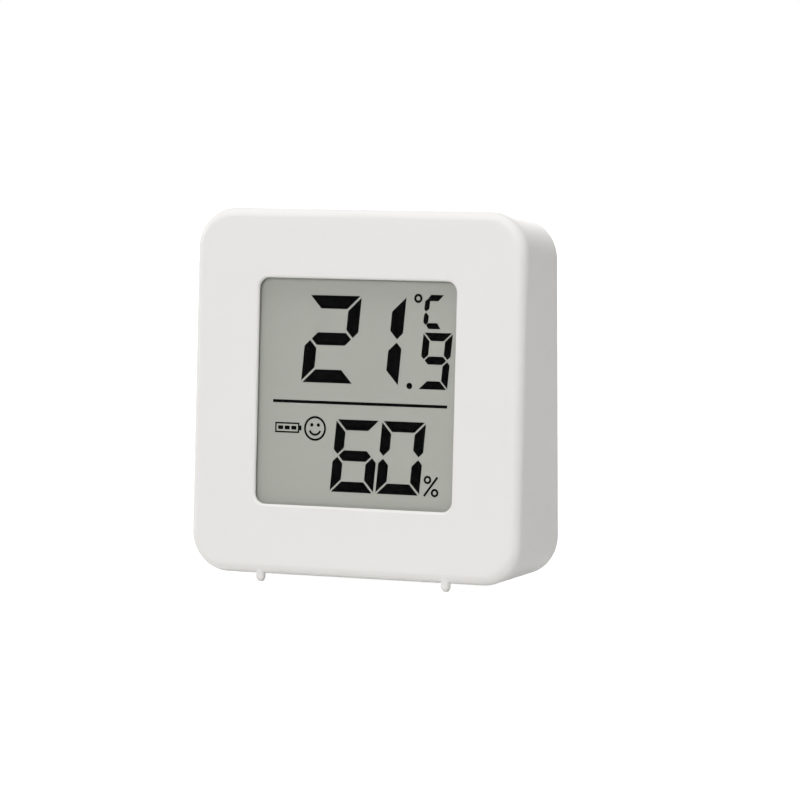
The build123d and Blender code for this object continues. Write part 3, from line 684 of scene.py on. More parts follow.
@dataclass
class SmoothCopy:
    """A merged copy of a CAD node whose curved faces shade smoothly and whose real edges stay sharp."""

    node: str
    name: str
    finish: Finish
    body: str
    slot: str

    def build(self) -> bpy.types.Object:
        """Makes the copy and lets it stand for its node.

        Returns:
            The piece.
        """
        form = bmesh.new()
        form.from_mesh(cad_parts[self.node].data)
        bmesh.ops.remove_doubles(form, verts=form.verts, dist=MATCH_DISTANCE)
        loose = [v for v in form.verts if not v.link_faces]
        bmesh.ops.delete(form, geom=loose, context="VERTS")
        for face in form.faces:
            face.smooth = True
            face.material_index = 0
        normals = EvenShading(form).normals()
        piece = keep(form, self.name, self.finish, self.body)
        piece.data.normals_split_custom_set(normals)
        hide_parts(self.node)
        return piece


@dataclass(frozen=True)
class FacePlane:
    """The front or rear plane of a flat CAD node, which may lean back with the front face."""

    node: str
    thickness: float
    rear: bool = False
    lean_degrees: float = 3.77

    def axes(self) -> Matrix:
        """Works out how the plane stands.

        Returns:
            The matrix from places on the plane, in metres, to the frame.
        """
        low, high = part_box(self.node)
        lean = math.radians(self.lean_degrees)
        side = -1 if self.rear else 1
        across = Vector((side, 0, 0))
        up = Vector((0, math.sin(lean), math.cos(lean)))
        out = Vector((0, -math.cos(lean), math.sin(lean))) * side
        origin = (low + high) / 2 + out * self.thickness / 2
        return Matrix((
            (across.x, up.x, out.x, origin.x), (across.y, up.y, out.y, origin.y),
            (across.z, up.z, out.z, origin.z), (0, 0, 0, 1)))


FILM_THICKNESS = 0.2 * MM
BOARD_THICKNESS = 1.0 * MM
FILM_PLANE = FacePlane("lcd_front_polarizer", FILM_THICKNESS)
BOARD_FRONT = FacePlane("circuit_board", BOARD_THICKNESS)
BOARD_REAR = FacePlane("circuit_board", BOARD_THICKNESS, rear=True)


def rear_axes(origin: Vector) -> Matrix:
    """Returns the axes of an upright plane that faces the rear, from a place on it."""
    return Matrix(((-1, 0, 0, origin.x), (0, 0, 1, origin.y), (0, 1, 0, origin.z), (0, 0, 0, 1)))


def islands(node: str, axes: Matrix) -> list[tuple[Vector, Vector]]:
    """Finds the separate solids of a CAD node.

    Args:
        node: The node's name.
        axes: The plane in whose axes they are measured.

    Returns:
        Each solid's lowest and highest corner, in metres on the plane.
    """
    form = bmesh.new()
    form.from_mesh(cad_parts[node].data)
    bmesh.ops.remove_doubles(form, verts=form.verts, dist=MATCH_DISTANCE)
    form.transform(axes.inverted())
    left = set(form.verts)
    found = []
    while left:
        ahead = [left.pop()]
        group = []
        while ahead:
            vert = ahead.pop()
            group.append(vert.co.copy())
            for edge in vert.link_edges:
                near = edge.other_vert(vert)
                if near in left:
                    left.discard(near)
                    ahead.append(near)
        found.append((Vector(map(min, *group)), Vector(map(max, *group))))
    form.free()
    return sorted(found, key=lambda pair: (round(pair[0].x, ORDER_DIGITS), round(pair[0].y, ORDER_DIGITS)))


# Repeated forms by geometry nodes

class GeometryTree:
    """A geometry node tree in the making, with named inputs for its sizes."""

    def __init__(self, name: str) -> None:
        """Starts a tree that takes and gives a geometry.

        Args:
            name: The tree's name.
        """
        self.tree = bpy.data.node_groups.new(name, "GeometryNodeTree")
        for flow in ("INPUT", "OUTPUT"):
            self.tree.interface.new_socket("Geometry", in_out=flow, socket_type="NodeSocketGeometry")
        self.given = self.tree.nodes.new("NodeGroupInput")

    def size(self, label: str) -> Socket:
        """Adds a named input: a whole number where its label ends in count, otherwise a length or number.

        Args:
            label: The input's name.

        Returns:
            The input as the tree's nodes read it.
        """
        kind = "NodeSocketInt" if label.endswith("count") else "NodeSocketFloat"
        self.tree.interface.new_socket(label, in_out="INPUT", socket_type=kind)
        return self.given.outputs[label]

    def add(self, kind: str, given: dict[str, object]) -> bpy.types.Node:
        """Adds a node.

        Args:
            kind: The node's type name.
            given: Its inputs by name, each a socket or a plain value.

        Returns:
            The new node.
        """
        node = self.tree.nodes.new(kind)
        for label, value in given.items():
            if isinstance(value, Socket):
                self.tree.links.new(value, node.inputs[label])
            else:
                node.inputs[label].default_value = value
        return node

    def vector(self, *labels: str) -> Socket:
        """Joins three named inputs to a vector.

        Args:
            labels: The names of the three inputs, empty where a part stays at 0.

        Returns:
            The vector.
        """
        node = self.tree.nodes.new("ShaderNodeCombineXYZ")
        for socket, label in zip(node.inputs, labels):
            if label:
                self.tree.links.new(self.size(label), socket)
        return node.outputs[0]

    def block(self) -> Socket:
        """Makes a block of the tree's own width, height and thickness."""
        return self.add("GeometryNodeMeshCube", {
            "Size": self.vector("Width", "Height", "Thickness")}).outputs["Mesh"]

    def copies(self, instance: Socket, points: Socket | None = None) -> Socket:
        """Puts a form on every point.

        Args:
            instance: The form.
            points: The points, or else the places that the tree is given.

        Returns:
            The copies.
        """
        points = points or self.given.outputs["Geometry"]
        return self.add("GeometryNodeInstanceOnPoints", {"Points": points, "Instance": instance}).outputs[0]

    def close(self, geometry: Socket, finish: Finish) -> None:
        """Ends the tree with real copies that wear a finish.

        Args:
            geometry: The geometry to give out.
            finish: The finish of all of it.
        """
        real = self.add("GeometryNodeRealizeInstances", {"Geometry": geometry})
        dressed = self.add("GeometryNodeSetMaterial", {
            "Geometry": real.outputs[0], "Material": finish.material()})
        result = self.tree.nodes.new("NodeGroupOutput")
        self.tree.links.new(dressed.outputs[0], result.inputs[0])


@dataclass(frozen=True)
class Repeat:
    """A form that a geometry node tree repeats. Sizes go by the names of the tree's inputs, in metres."""

    name: str
    finish: Finish
    sizes: dict[str, float]

    def grow(self, tree: GeometryTree) -> Socket:
        """Adds the nodes that make the form; each kind has its own."""
        raise NotImplementedError

    def build(self, source: bpy.types.Mesh, axes: Matrix, body: str) -> bpy.types.Object:
        """Makes the piece.

        Args:
            source: Places or paths on the plane.
            axes: The plane.
            body: The body that it moves with.

        Returns:
            The piece.
        """
        tree = GeometryTree(self.name)
        tree.close(self.grow(tree), self.finish)
        holder = bpy.data.objects.new(f"{self.name}_places", source)
        bpy.context.scene.collection.objects.link(holder)
        modifier = holder.modifiers.new(self.name, "NODES")
        modifier.node_group = tree.tree
        for item in tree.tree.interface.items_tree:
            if item.in_out == "INPUT" and item.name in self.sizes:
                modifier[item.identifier] = self.sizes[item.name]
        graph = bpy.context.evaluated_depsgraph_get()
        mesh = bpy.data.meshes.new_from_object(holder.evaluated_get(graph))
        holder.modifiers.remove(modifier)
        bpy.data.objects.remove(holder)
        mesh.transform(axes)
        return keep(mesh, self.name, self.finish, body)


def places(points: list[Vector]) -> bpy.types.Mesh:
    """Makes a mesh of loose points for a repeated form.

    Args:
        points: The points.

    Returns:
        The mesh.
    """
    mesh = bpy.data.meshes.new("places")
    mesh.from_pydata([tuple(point) for point in points], [], [])
    return mesh


class Blocks(Repeat):
    """Flat blocks at given places."""

    def grow(self, tree: GeometryTree) -> Socket:
        """Puts a block on every place."""
        return tree.copies(tree.block())


class Row(Repeat):
    """A row of blocks at an even pitch from each given place."""

    def grow(self, tree: GeometryTree) -> Socket:
        """Makes a row of blocks and puts it on every place.

        Args:
            tree: The tree that the nodes go into.

        Returns:
            The rows.
        """
        line = tree.add("GeometryNodeMeshLine", {
            "Count": tree.size("Block count"), "Offset": tree.vector("Pitch", "", "")})
        return tree.copies(tree.copies(tree.block(), line.outputs["Mesh"]))


class Mounds(Repeat):
    """Tapered round mounds, such as solder joints."""

    def grow(self, tree: GeometryTree) -> Socket:
        """Puts a mound on every place.

        Args:
            tree: The tree that the nodes go into.

        Returns:
            The mounds.
        """
        mound = tree.add("GeometryNodeMeshCone", {
            "Vertices": tree.size("Side count"), "Radius Top": tree.size("Top"),
            "Radius Bottom": tree.size("Foot"), "Depth": tree.size("Height")})
        return tree.copies(mound.outputs["Mesh"])


class Threads(Repeat):
    """Screw threads: a ridge wound round the plane's normal."""

    def grow(self, tree: GeometryTree) -> Socket:
        """Winds a ridge on every place.

        Args:
            tree: The tree that the nodes go into.

        Returns:
            The threads.
        """
        radius = tree.size("Radius")
        winding = tree.add("GeometryNodeCurveSpiral", {
            "Resolution": tree.size("Step count"), "Rotations": tree.size("Turns"), "Start Radius": radius,
            "End Radius": radius, "Height": tree.size("Length")})
        ridge = tree.add("GeometryNodeCurvePrimitiveCircle", {
            "Resolution": tree.size("Side count"), "Radius": tree.size("Ridge")})
        thread = tree.add("GeometryNodeCurveToMesh", {
            "Curve": winding.outputs[0], "Profile Curve": ridge.outputs[0], "Fill Caps": True})
        return tree.copies(thread.outputs[0])


class Tracks(Repeat):
    """Flat copper tracks that follow drawn paths."""

    def grow(self, tree: GeometryTree) -> Socket:
        """Sweeps a flat section along every path.

        Args:
            tree: The tree that the nodes go into.

        Returns:
            The tracks.
        """
        path = tree.add("GeometryNodeMeshToCurve", {"Mesh": tree.given.outputs["Geometry"]})
        section = tree.add("GeometryNodeCurvePrimitiveQuadrilateral", {
            "Width": tree.size("Thickness"), "Height": tree.size("Width")})
        return tree.add("GeometryNodeCurveToMesh", {
            "Curve": path.outputs[0], "Profile Curve": section.outputs[0], "Fill Caps": True}).outputs[0]


# Reliefs

Point = tuple[float, float]


@dataclass
class Relief:
    """Thin raised forms on a plane. Outlines are in millimetres, heights in metres."""

    axes: Matrix
    low: float
    high: float
    ring_steps: int = 40
    least_steps: int = 6
    form: bmesh.types.BMesh = field(default_factory=bmesh.new)

    def vertex(self, place: Point, out: float) -> bmesh.types.BMVert:
        """Adds a vertex at a place on the plane and a height over it."""
        return self.form.verts.new(self.axes @ Vector((place[0] * MM, place[1] * MM, out)))

    def prism(self, outline: list[Point]) -> None:
        """Adds a thin prism.

        Args:
            outline: Its corners against the clock.
        """
        foot = [self.vertex(place, self.low) for place in outline]
        top = [self.vertex(place, self.high) for place in outline]
        self.form.faces.new(top)
        self.form.faces.new(list(reversed(foot)))
        for step in range(len(outline)):
            after = (step + 1) % len(outline)
            self.form.faces.new((foot[step], foot[after], top[after], top[step]))

    def ring(self, centre: Point, outer: float, inner: float, start: float = 0.0,
             end: float = FULL_TURN) -> None:
        """Adds a ring or an arc.

        Args:
            centre: Its centre.
            outer: Its outer radius.
            inner: Its inner radius.
            start: Its first angle in degrees.
            end: Its last angle in degrees.
        """
        steps = max(self.least_steps, round(self.ring_steps * (end - start) / FULL_TURN))
        closed = end - start >= FULL_TURN
        section = ((outer, self.low), (outer, self.high), (inner, self.high), (inner, self.low))
        rows = []
        for step in range(steps if closed else steps + 1):
            angle = math.radians(start + (end - start) * step / steps)
            row = []
            for radius, out in section:
                place = (centre[0] + radius * math.cos(angle), centre[1] + radius * math.sin(angle))
                row.append(self.vertex(place, out))
            rows.append(row)
        count = len(rows)
        for step in range(count if closed else count - 1):
            here, after = rows[step], rows[(step + 1) % count]
            for corner in range(len(section)):
                beside = (corner + 1) % len(section)
                self.form.faces.new((here[corner], after[corner], after[beside], here[beside]))
        if not closed:
            self.form.faces.new(rows[0])
            self.form.faces.new(list(reversed(rows[-1])))

    def disc(self, centre: Point, radius: float) -> None:
        """Adds a round dot.

        Args:
            centre: Its centre.
            radius: Its radius.
        """
        turn = 2 * math.pi / self.ring_steps
        self.prism([(centre[0] + radius * math.cos(step * turn), centre[1] + radius * math.sin(step * turn))
                    for step in range(self.ring_steps)])

    def bar(self, start: Point, end: Point, width: float) -> None:
        """Adds a straight bar between two places.

        Args:
            start: The middle of its first end.
            end: The middle of its last end.
            width: Its width.
        """
        along = Vector(end) - Vector(start)
        side = Vector((-along.y, along.x)).normalized() * width / 2
        corners = [Vector(start) - side, Vector(end) - side, Vector(end) + side, Vector(start) + side]
        self.prism([tuple(c) for c in corners])

    def box(self, left: float, right: float, low: float, high: float) -> None:
        """Adds an upright rectangle."""
        self.prism([(left, low), (right, low), (right, high), (left, high)])

    def plus(self, centre: Point, reach: float, width: float) -> None:
        """Adds a plus sign.

        Args:
            centre: Its centre.
            reach: How far each arm reaches from the centre.
            width: The width of its arms.
        """
        r, w = reach, width / 2
        corners = [(r, -w), (r, w), (w, w), (w, r), (-w, r), (-w, w), (-r, w), (-r, -w), (-w, -w), (-w, -r),
                   (w, -r), (w, -w)]
        self.prism([(centre[0] + x, centre[1] + y) for x, y in corners])


# Display artwork

class Segment(Enum):
    """The seven strokes of a digit."""

    TOP = "a"
    UPPER_RIGHT = "b"
    LOWER_RIGHT = "c"
    BOTTOM = "d"
    LOWER_LEFT = "e"
    UPPER_LEFT = "f"
    MIDDLE = "g"


SEGMENTS_OF = {"0": "abcdef", "1": "bc", "2": "abged", "6": "afgedc", "9": "abcdfg"}


@dataclass(frozen=True)
class DigitForm:
    """Sizes of a seven stroke digit, in millimetres, with its foot at its left lower corner."""

    width: float
    height: float
    upright: float
    level: float
    middle_level: float
    gap: float
    end_gap: float
    slant: float = 0.085
    waist_share: float = 0.503
    tip_share: float = 0.42

    def outline(self, segment: Segment) -> list[Point]:
        """Gives the outline of a stroke, counted round against the clock.

        Args:
            segment: The stroke.

        Returns:
            Its corners before the slant.
        """
        w, h, g, end = self.width, self.height, self.gap, self.end_gap
        s, level, half = self.upright, self.level, self.middle_level / 2
        waist = h * self.waist_share
        tip = s * self.tip_share
        if segment is Segment.TOP:
            return [(g, h), (level + g, h - level), (w - level - g, h - level), (w - g, h)]
        if segment is Segment.BOTTOM:
            return [(g, 0), (w - g, 0), (w - level - g, level), (level + g, level)]
        if segment is Segment.MIDDLE:
            start = tip + g
            return [(start, waist), (start + half, waist - half), (w - start - half, waist - half),
                    (w - start, waist), (w - start - half, waist + half), (start + half, waist + half)]
        if segment in (Segment.UPPER_RIGHT, Segment.UPPER_LEFT):
            low = waist + g
            side = [(w - s, low + s - tip), (w - tip, low), (w, low + tip), (w, h - end),
                    (w - s, h - s - end)]
        else:
            high = waist - g
            side = [(w - s, s + end), (w, end), (w, high - tip), (w - tip, high), (w - s, high - s + tip)]
        if segment in (Segment.UPPER_RIGHT, Segment.LOWER_RIGHT):
            return side
        return [(w - x, y) for x, y in reversed(side)]

    def strokes(self, sign: str, left: float, foot: float) -> list[list[Point]]:
        """Gives the outlines of a sign at a place.

        Args:
            sign: A digit.
            left: The cell's left side at its foot.
            foot: The cell's foot.

        Returns:
            One outline for each lit stroke.
        """
        return [[(left + x + y * self.slant, foot + y) for x, y in self.outline(Segment(code))]
                for code in SEGMENTS_OF[sign]]


LARGE_DIGIT = DigitForm(
    width=7.2, height=10.72, upright=1.66, level=1.62, middle_level=1.55, gap=0.2, end_gap=0.2)


@dataclass
class Artwork:
    """Lit marks of the display, thin raised forms on its film, in millimetres from the film's centre."""

    two: DigitForm = LARGE_DIGIT
    one: DigitForm = replace(LARGE_DIGIT, upright=1.76, end_gap=0.02)
    lower: DigitForm = DigitForm(
        width=5.94, height=8.9, upright=1.38, level=1.3, middle_level=1.3, gap=0.17, end_gap=0.17)
    small: DigitForm = DigitForm(
        width=3.95, height=6.88, upright=0.93, level=1.0, middle_level=0.98, gap=0.13, end_gap=0.13,
        slant=0.09, waist_share=0.51)
    proud: float = 0.012
    lift: float = 0.002
    temperature_feet: tuple[float, float] = (1.2, 0.84)
    temperature_lefts: tuple[float, float, float] = (-7.86, -1.77, 8.15)
    humidity_foot: float = -12.1
    humidity_lefts: tuple[float, float] = (-3.56, 2.71)
    letter_strokes: tuple[tuple[Point, ...], ...] = (
        ((9.45, 11.55), (10.65, 11.55), (11.37, 12.31), (9.67, 12.31), (9.27, 11.79)),
        ((8.77, 10.57), (9.01, 10.27), (9.45, 10.61), (9.55, 11.57), (9.29, 11.81), (8.9, 11.55)),
        ((8.69, 8.97), (8.95, 8.65), (9.33, 8.91), (9.42, 9.71), (9.02, 10.17), (8.78, 9.89)),
        ((9.39, 8.17), (11.03, 8.17), (10.55, 8.89), (9.37, 8.89), (9.05, 8.63)))
    degree_centre: Point = (7.94, 11.84)
    degree_radii: Point = (0.56, 0.26)
    point_centre: Point = (7.0, 1.18)
    point_radius: float = 0.39
    divider: tuple[float, float, float, float] = (-11.68, 12.17, -1.21, 0.37)
    percent_rings: tuple[Point, Point] = ((9.76, -10.14), (10.76, -11.69))
    percent_radii: Point = (0.51, 0.24)
    percent_slash: tuple[Point, Point] = ((9.32, -12.12), (11.1, -9.78))
    slash_width: float = 0.27
    comfort_centre: Point = (-5.77, -4.45)
    comfort_radius: float = 1.52
    comfort_line: float = 0.26
    eye_offset: Point = (0.45, 0.43)
    eye_radius: float = 0.22
    mouth_radius: float = 0.9
    mouth_degrees: Point = (200.0, 340.0)
    battery_box: tuple[float, float, float, float] = (-11.3, -7.95, -5.1, -3.82)
    battery_line: float = 0.19
    battery_tip: Point = (0.3, 0.6)
    battery_cells: int = 3
    battery_cell_gap: float = 0.22

    def relief(self) -> Relief:
        """Starts a relief on the film."""
        return Relief(FILM_PLANE.axes(), self.lift * MM, self.proud * MM)

    def temperature(self) -> Relief:
        """Makes the upper reading: two large digits, a point and a small digit.

        Returns:
            The relief.
        """
        mark = self.relief()
        large_foot, small_foot = self.temperature_feet
        rows = zip("219", (self.two, self.one, self.small), self.temperature_lefts,
                   (large_foot, large_foot, small_foot))
        for sign, digit, left, foot in rows:
            for outline in digit.strokes(sign, left, foot):
                mark.prism(outline)
        mark.disc(self.point_centre, self.point_radius)
        return mark

    def unit_marks(self) -> Relief:
        """Makes the degree ring, the unit letter and the percent mark.

        Returns:
            The relief.
        """
        mark = self.relief()
        mark.ring(self.degree_centre, *self.degree_radii)
        for outline in self.letter_strokes:
            mark.prism(list(outline))
        for centre in self.percent_rings:
            mark.ring(centre, *self.percent_radii)
        mark.bar(*self.percent_slash, self.slash_width)
        return mark

    def humidity(self) -> Relief:
        """Makes the lower reading: two digits.

        Returns:
            The relief.
        """
        mark = self.relief()
        for sign, left in zip("60", self.humidity_lefts):
            for outline in self.lower.strokes(sign, left, self.humidity_foot):
                mark.prism(outline)
        return mark

    def marks(self) -> Relief:
        """Makes the divider, the comfort mark and the battery mark's outline.

        Returns:
            The relief.
        """
        mark = self.relief()
        left, right, middle, thick = self.divider
        mark.box(left, right, middle - thick / 2, middle + thick / 2)
        mark.ring(self.comfort_centre, self.comfort_radius, self.comfort_radius - self.comfort_line)
        across, up = self.comfort_centre
        for side in (-1, 1):
            eye = (across + side * self.eye_offset[0], up + self.eye_offset[1])
            mark.disc(eye, self.eye_radius)
        mark.ring(self.comfort_centre, self.mouth_radius, self.mouth_radius - self.comfort_line,
                  *self.mouth_degrees)
        left, right, low, high = self.battery_box
        line = self.battery_line
        mark.box(left, right, low, low + line)
        mark.box(left, right, high - line, high)
        mark.box(left, left + line, low + line, high - line)
        mark.box(right - line, right, low + line, high - line)
        middle = (low + high) / 2
        tip, tall = self.battery_tip
        mark.box(right, right + tip, middle - tall / 2, middle + tall / 2)
        return mark

    def level_bars(self) -> None:
        """Makes the battery mark's level bars as one repeated row."""
        left, right, low, high = self.battery_box
        edge = self.battery_line + self.battery_cell_gap
        pitch = (right - left - 2 * edge + self.battery_cell_gap) / self.battery_cells
        width = pitch - self.battery_cell_gap
        thick = (self.proud - self.lift) * MM
        bars = Row("battery_level_bars", INK, {
            "Width": width * MM, "Height": (high - low - 2 * edge) * MM, "Thickness": thick,
            "Block count": self.battery_cells, "Pitch": pitch * MM})
        first = Vector(((left + edge + width / 2) * MM, (low + high) / 2 * MM, self.lift * MM + thick / 2))
        bars.build(places([first]), FILM_PLANE.axes(), HOUSING)

    def build(self) -> None:
        """Makes the pieces of artwork."""
        for name, mark in (("temperature_reading", self.temperature()), ("unit_marks", self.unit_marks()),
                           ("humidity_reading", self.humidity()), ("display_marks", self.marks())):
            keep(mark.form, name, INK, HOUSING)
        self.level_bars()


# Sub-assemblies

@dataclass
class Casing:
    """Front housing, rear cover, battery door and unit button."""

    def build(self) -> None:
        """Makes smooth copies of the moulded pieces."""
        for node, name, finish, body, slot in (
                ("front_housing", "front_housing_shell", WHITE_PLASTIC, HOUSING, "housing_plastic"),
                ("rear_cover", "rear_cover_shell", COVER_PLASTIC, HOUSING, "cover_plastic"),
                ("battery_door", "battery_door_panel", COVER_PLASTIC, "battery_door", "cover_plastic"),
                ("unit_button", "unit_button_cap", BUTTON_PLASTIC, "unit_button", "button_plastic")):
            SmoothCopy(node, name, finish, body, slot).build()


@dataclass
class NodeFinishes:
    """Finishes of the CAD nodes that stay as they are."""

    plain: dict[str, Finish] = field(default_factory=lambda: {
        "window_adhesive": ADHESIVE, "display_window": WINDOW, "lcd_front_polarizer": FILM,
        "lcd_front_glass": GLASS, "lcd_rear_glass": GLASS, "lcd_rear_reflector": REFLECTOR,
        "display_frame": FRAME_PLASTIC, "zebra_strip": RUBBER, "circuit_board": LAMINATE,
        "board_screws": SCREW_STEEL, "controller_chip": RESIN, "humidity_sensor": SENSOR_PLASTIC,
        "thermistor": BEAD, "board_capacitors": CERAMIC, "board_resistors": RESISTOR_BODY,
        "button_switch": SWITCH_PLASTIC, "switch_plunger": SWITCH_PLASTIC, "negative_contact": SPRING_METAL,
        "positive_contact": SPRING_METAL, "coin_cell_can": cell_steel(), "coin_cell_gasket": GASKET,
        "coin_cell_cap": cell_steel(), "coin_cell_core": CORE, "rear_cover_screws": SCREW_STEEL})

    def build(self) -> None:
        """Assigns each finish to its node's material slots."""
        for node, finish in self.plain.items():
            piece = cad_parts[node]
            if not piece.material_slots:
                piece.data.materials.append(finish.material())
            for slot in piece.material_slots:
                slot.link = "OBJECT"
                slot.material = finish.material()
            LOG.info("node %s keeps its form, finish %s", node, finish.name)


@dataclass
class BoardDetails:
    """Terminals, solder, tracks and contact fingers of the circuit board. Lengths are metres."""

    cap_length: float = 0.36 * MM
    cap_growth: float = 0.03 * MM
    joint_gap: float = 0.1 * MM
    joint_height: float = 0.32 * MM
    joint_foot: float = 0.36 * MM
    joint_top: float = 0.1 * MM
    joint_sides: int = 12
    lead_share: float = 0.25
    track_width: float = 0.2 * MM
    lane_pitch: float = 0.3 * MM
    track_thickness: float = 0.07 * MM
    finger_count: int = 34
    finger_width: float = 0.42 * MM
    finger_pitch: float = 0.8 * MM
    finger_thickness: float = 0.03 * MM
    ring_radii: Point = (3.75, 3.5)
    ring_height: float = 0.025 * MM

    def terminals(self, axes: Matrix) -> None:
        """Gives the small parts their end caps and solder joints.

        Args:
            axes: The board's rear plane.
        """
        joints = []
        inward = (self.cap_length - self.cap_growth) / 2
        for node, name in (("board_resistors", "resistor_terminals"),
                           ("board_capacitors", "capacitor_terminals")):
            caps = []
            for low, high in islands(node, axes):
                middle = (low.y + high.y) / 2
                for end, side in ((low.x, 1), (high.x, -1)):
                    caps.append(Vector((end + side * inward, middle, high.z / 2)))
                    joints.append(Vector((end - side * self.joint_gap, middle, 0.0)))
            size = high - low
            Blocks(name, TIN, {
                "Width": self.cap_length + self.cap_growth, "Height": size.y + self.cap_growth,
                "Thickness": high.z + self.cap_growth}).build(places(caps), axes, HOUSING)
        for low, high in islands("thermistor", axes):
            middle = (low + high) / 2
            half = (high.x - low.x) * self.lead_share
            joints += [Vector((middle.x + side * half, middle.y, 0.0)) for side in (-1, 1)]
        Mounds("solder_joints", TIN, {
            "Side count": self.joint_sides, "Top": self.joint_top, "Foot": self.joint_foot,
            "Height": self.joint_height}).build(places(joints), axes, HOUSING)

    def tracks(self, axes: Matrix) -> None:
        """Draws tracks from the chip to the parts round it.

        Args:
            axes: The board's rear plane.
        """
        chip_low, chip_high = islands("controller_chip", axes)[0]
        chip = (chip_low + chip_high) / 2
        ends = []
        for node in ("board_resistors", "board_capacitors", "humidity_sensor", "thermistor",
                     "button_switch"):
            ends += [(low + high) / 2 for low, high in islands(node, axes)]
        verts, edges = [], []
        for number, end in enumerate(sorted(ends, key=lambda place: place.y)):
            lane = chip.x - (number - len(ends) / 2) * self.lane_pitch
            path = [(lane, chip.y), (lane, end.y), (end.x, end.y)]
            start = len(verts)
            verts += [(x, y, 0.0) for x, y in path]
            edges += [(start, start + 1), (start + 1, start + 2)]
        mesh = bpy.data.meshes.new("paths")
        mesh.from_pydata(verts, edges, [])
        Tracks("board_tracks", TRACK, {
            "Width": self.track_width, "Thickness": self.track_thickness}).build(mesh, axes, HOUSING)

    def chip_ring(self, axes: Matrix) -> None:
        """Prints a pale ring round the resin drop.

        Args:
            axes: The board's rear plane.
        """
        low, high = islands("controller_chip", axes)[0]
        centre = ((low.x + high.x) / 2 / MM, (low.y + high.y) / 2 / MM)
        mark = Relief(axes, 0.0, self.ring_height)
        mark.ring(centre, *self.ring_radii)
        keep(mark.form, "chip_ring_print", PRINT, HOUSING)

    def fingers(self, axes: Matrix) -> None:
        """Makes the gilt fingers under the rubber contact strip.

        Args:
            axes: The board's front plane.
        """
        low, high = islands("zebra_strip", axes)[0]
        span = (self.finger_count - 1) * self.finger_pitch
        first = Vector(((low.x + high.x - span) / 2, (low.y + high.y) / 2, 0.0))
        Row("contact_fingers", GOLD, {
            "Width": self.finger_width, "Height": high.y - low.y, "Thickness": self.finger_thickness,
            "Block count": self.finger_count, "Pitch": self.finger_pitch}).build(
                places([first]), axes, HOUSING)

    def build(self) -> None:
        """Makes every detail of the board."""
        rear = BOARD_REAR.axes()
        self.terminals(rear)
        self.tracks(rear)
        self.chip_ring(rear)
        self.fingers(BOARD_FRONT.axes())


@dataclass(frozen=True)
class ScrewThread:
    """The thread of a node's screws, wound round each shank from its tip. Lengths are metres."""

    node: str
    name: str
    radius: float
    length: float
    turns: float
    ridge: float = 0.12 * MM
    ridge_sides: int = 4
    turn_steps: int = 16

    def build(self, axes: Matrix) -> None:
        """Winds the threads.

        Args:
            axes: A plane across the screws, facing their heads.
        """
        spots = [Vector(((low.x + high.x) / 2, (low.y + high.y) / 2, low.z + self.ridge))
                 for low, high in islands(self.node, axes)]
        Threads(self.name, SCREW_STEEL, {
            "Step count": self.turn_steps, "Side count": self.ridge_sides, "Turns": self.turns,
            "Radius": self.radius, "Length": self.length, "Ridge": self.ridge}).build(
                places(spots), axes, HOUSING)


@dataclass
class ScrewDetails:
    """Threads of the board screws and of the rear cover's screws."""

    board: ScrewThread = ScrewThread(
        "board_screws", "board_screw_threads", radius=0.53 * MM, length=2.4 * MM, turns=6.0)
    cover: ScrewThread = ScrewThread(
        "rear_cover_screws", "cover_screw_threads", radius=0.78 * MM, length=4.0 * MM, turns=8.0)

    def build(self) -> None:
        """Winds both kinds; the board leans with the face and the rear cover stands upright."""
        self.board.build(BOARD_REAR.axes())
        self.cover.build(rear_axes(Vector()))


@dataclass
class CellFace:
    """Plain raised marks on the coin cell's outer face: the plus sign, and a ring of painted shade for the can's
    pressed ring. Outlines are millimetres, heights metres.
    """

    plus_reach: float = 1.5
    plus_width: float = 0.55
    plus_rise: float = 4.6
    ring_radii: Point = (8.15, 7.95)
    ring_steps: int = 96
    height: float = 0.03 * MM

    def build(self) -> None:
        """Makes the plus sign and the dark ring of painted shade that stands for the pressed ring's shading."""
        low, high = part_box("coin_cell_can")
        axes = rear_axes(Vector((0.0, high.y, (low.z + high.z) / 2)))
        mark = Relief(axes, -self.height, self.height, self.ring_steps)
        mark.plus((0.0, self.plus_rise), self.plus_reach, self.plus_width)
        # The ring is painted shade: a dark line where the pressed ring would shade the can
        mark.ring((0.0, 0.0), *self.ring_radii)
        keep(mark.form, "coin_cell_marks_and_shade", MARK_AND_SHADE_STEEL, HOUSING)


# Studio

@dataclass(frozen=True)
class Lamp:
    """A soft round lamp that faces the object. Its power is in watts, its size and distance in metres."""

    name: str
    direction: tuple[float, float, float]
    power: float
    size: float = 0.5
    distance: float = 0.9

    def build(self, target: Vector) -> None:
        """Places the lamp.

        Args:
            target: The place that it faces.
        """
        data = bpy.data.lights.new(self.name, "AREA")
        data.shape = "DISK"
        data.size = self.size
        data.energy = self.power
        lamp = bpy.data.objects.new(self.name, data)
        bpy.context.scene.collection.objects.link(lamp)
        out = Vector(self.direction).normalized()
        lamp.location = target + out * self.distance
        lamp.rotation_euler = out.to_track_quat("Z", "Y").to_euler()


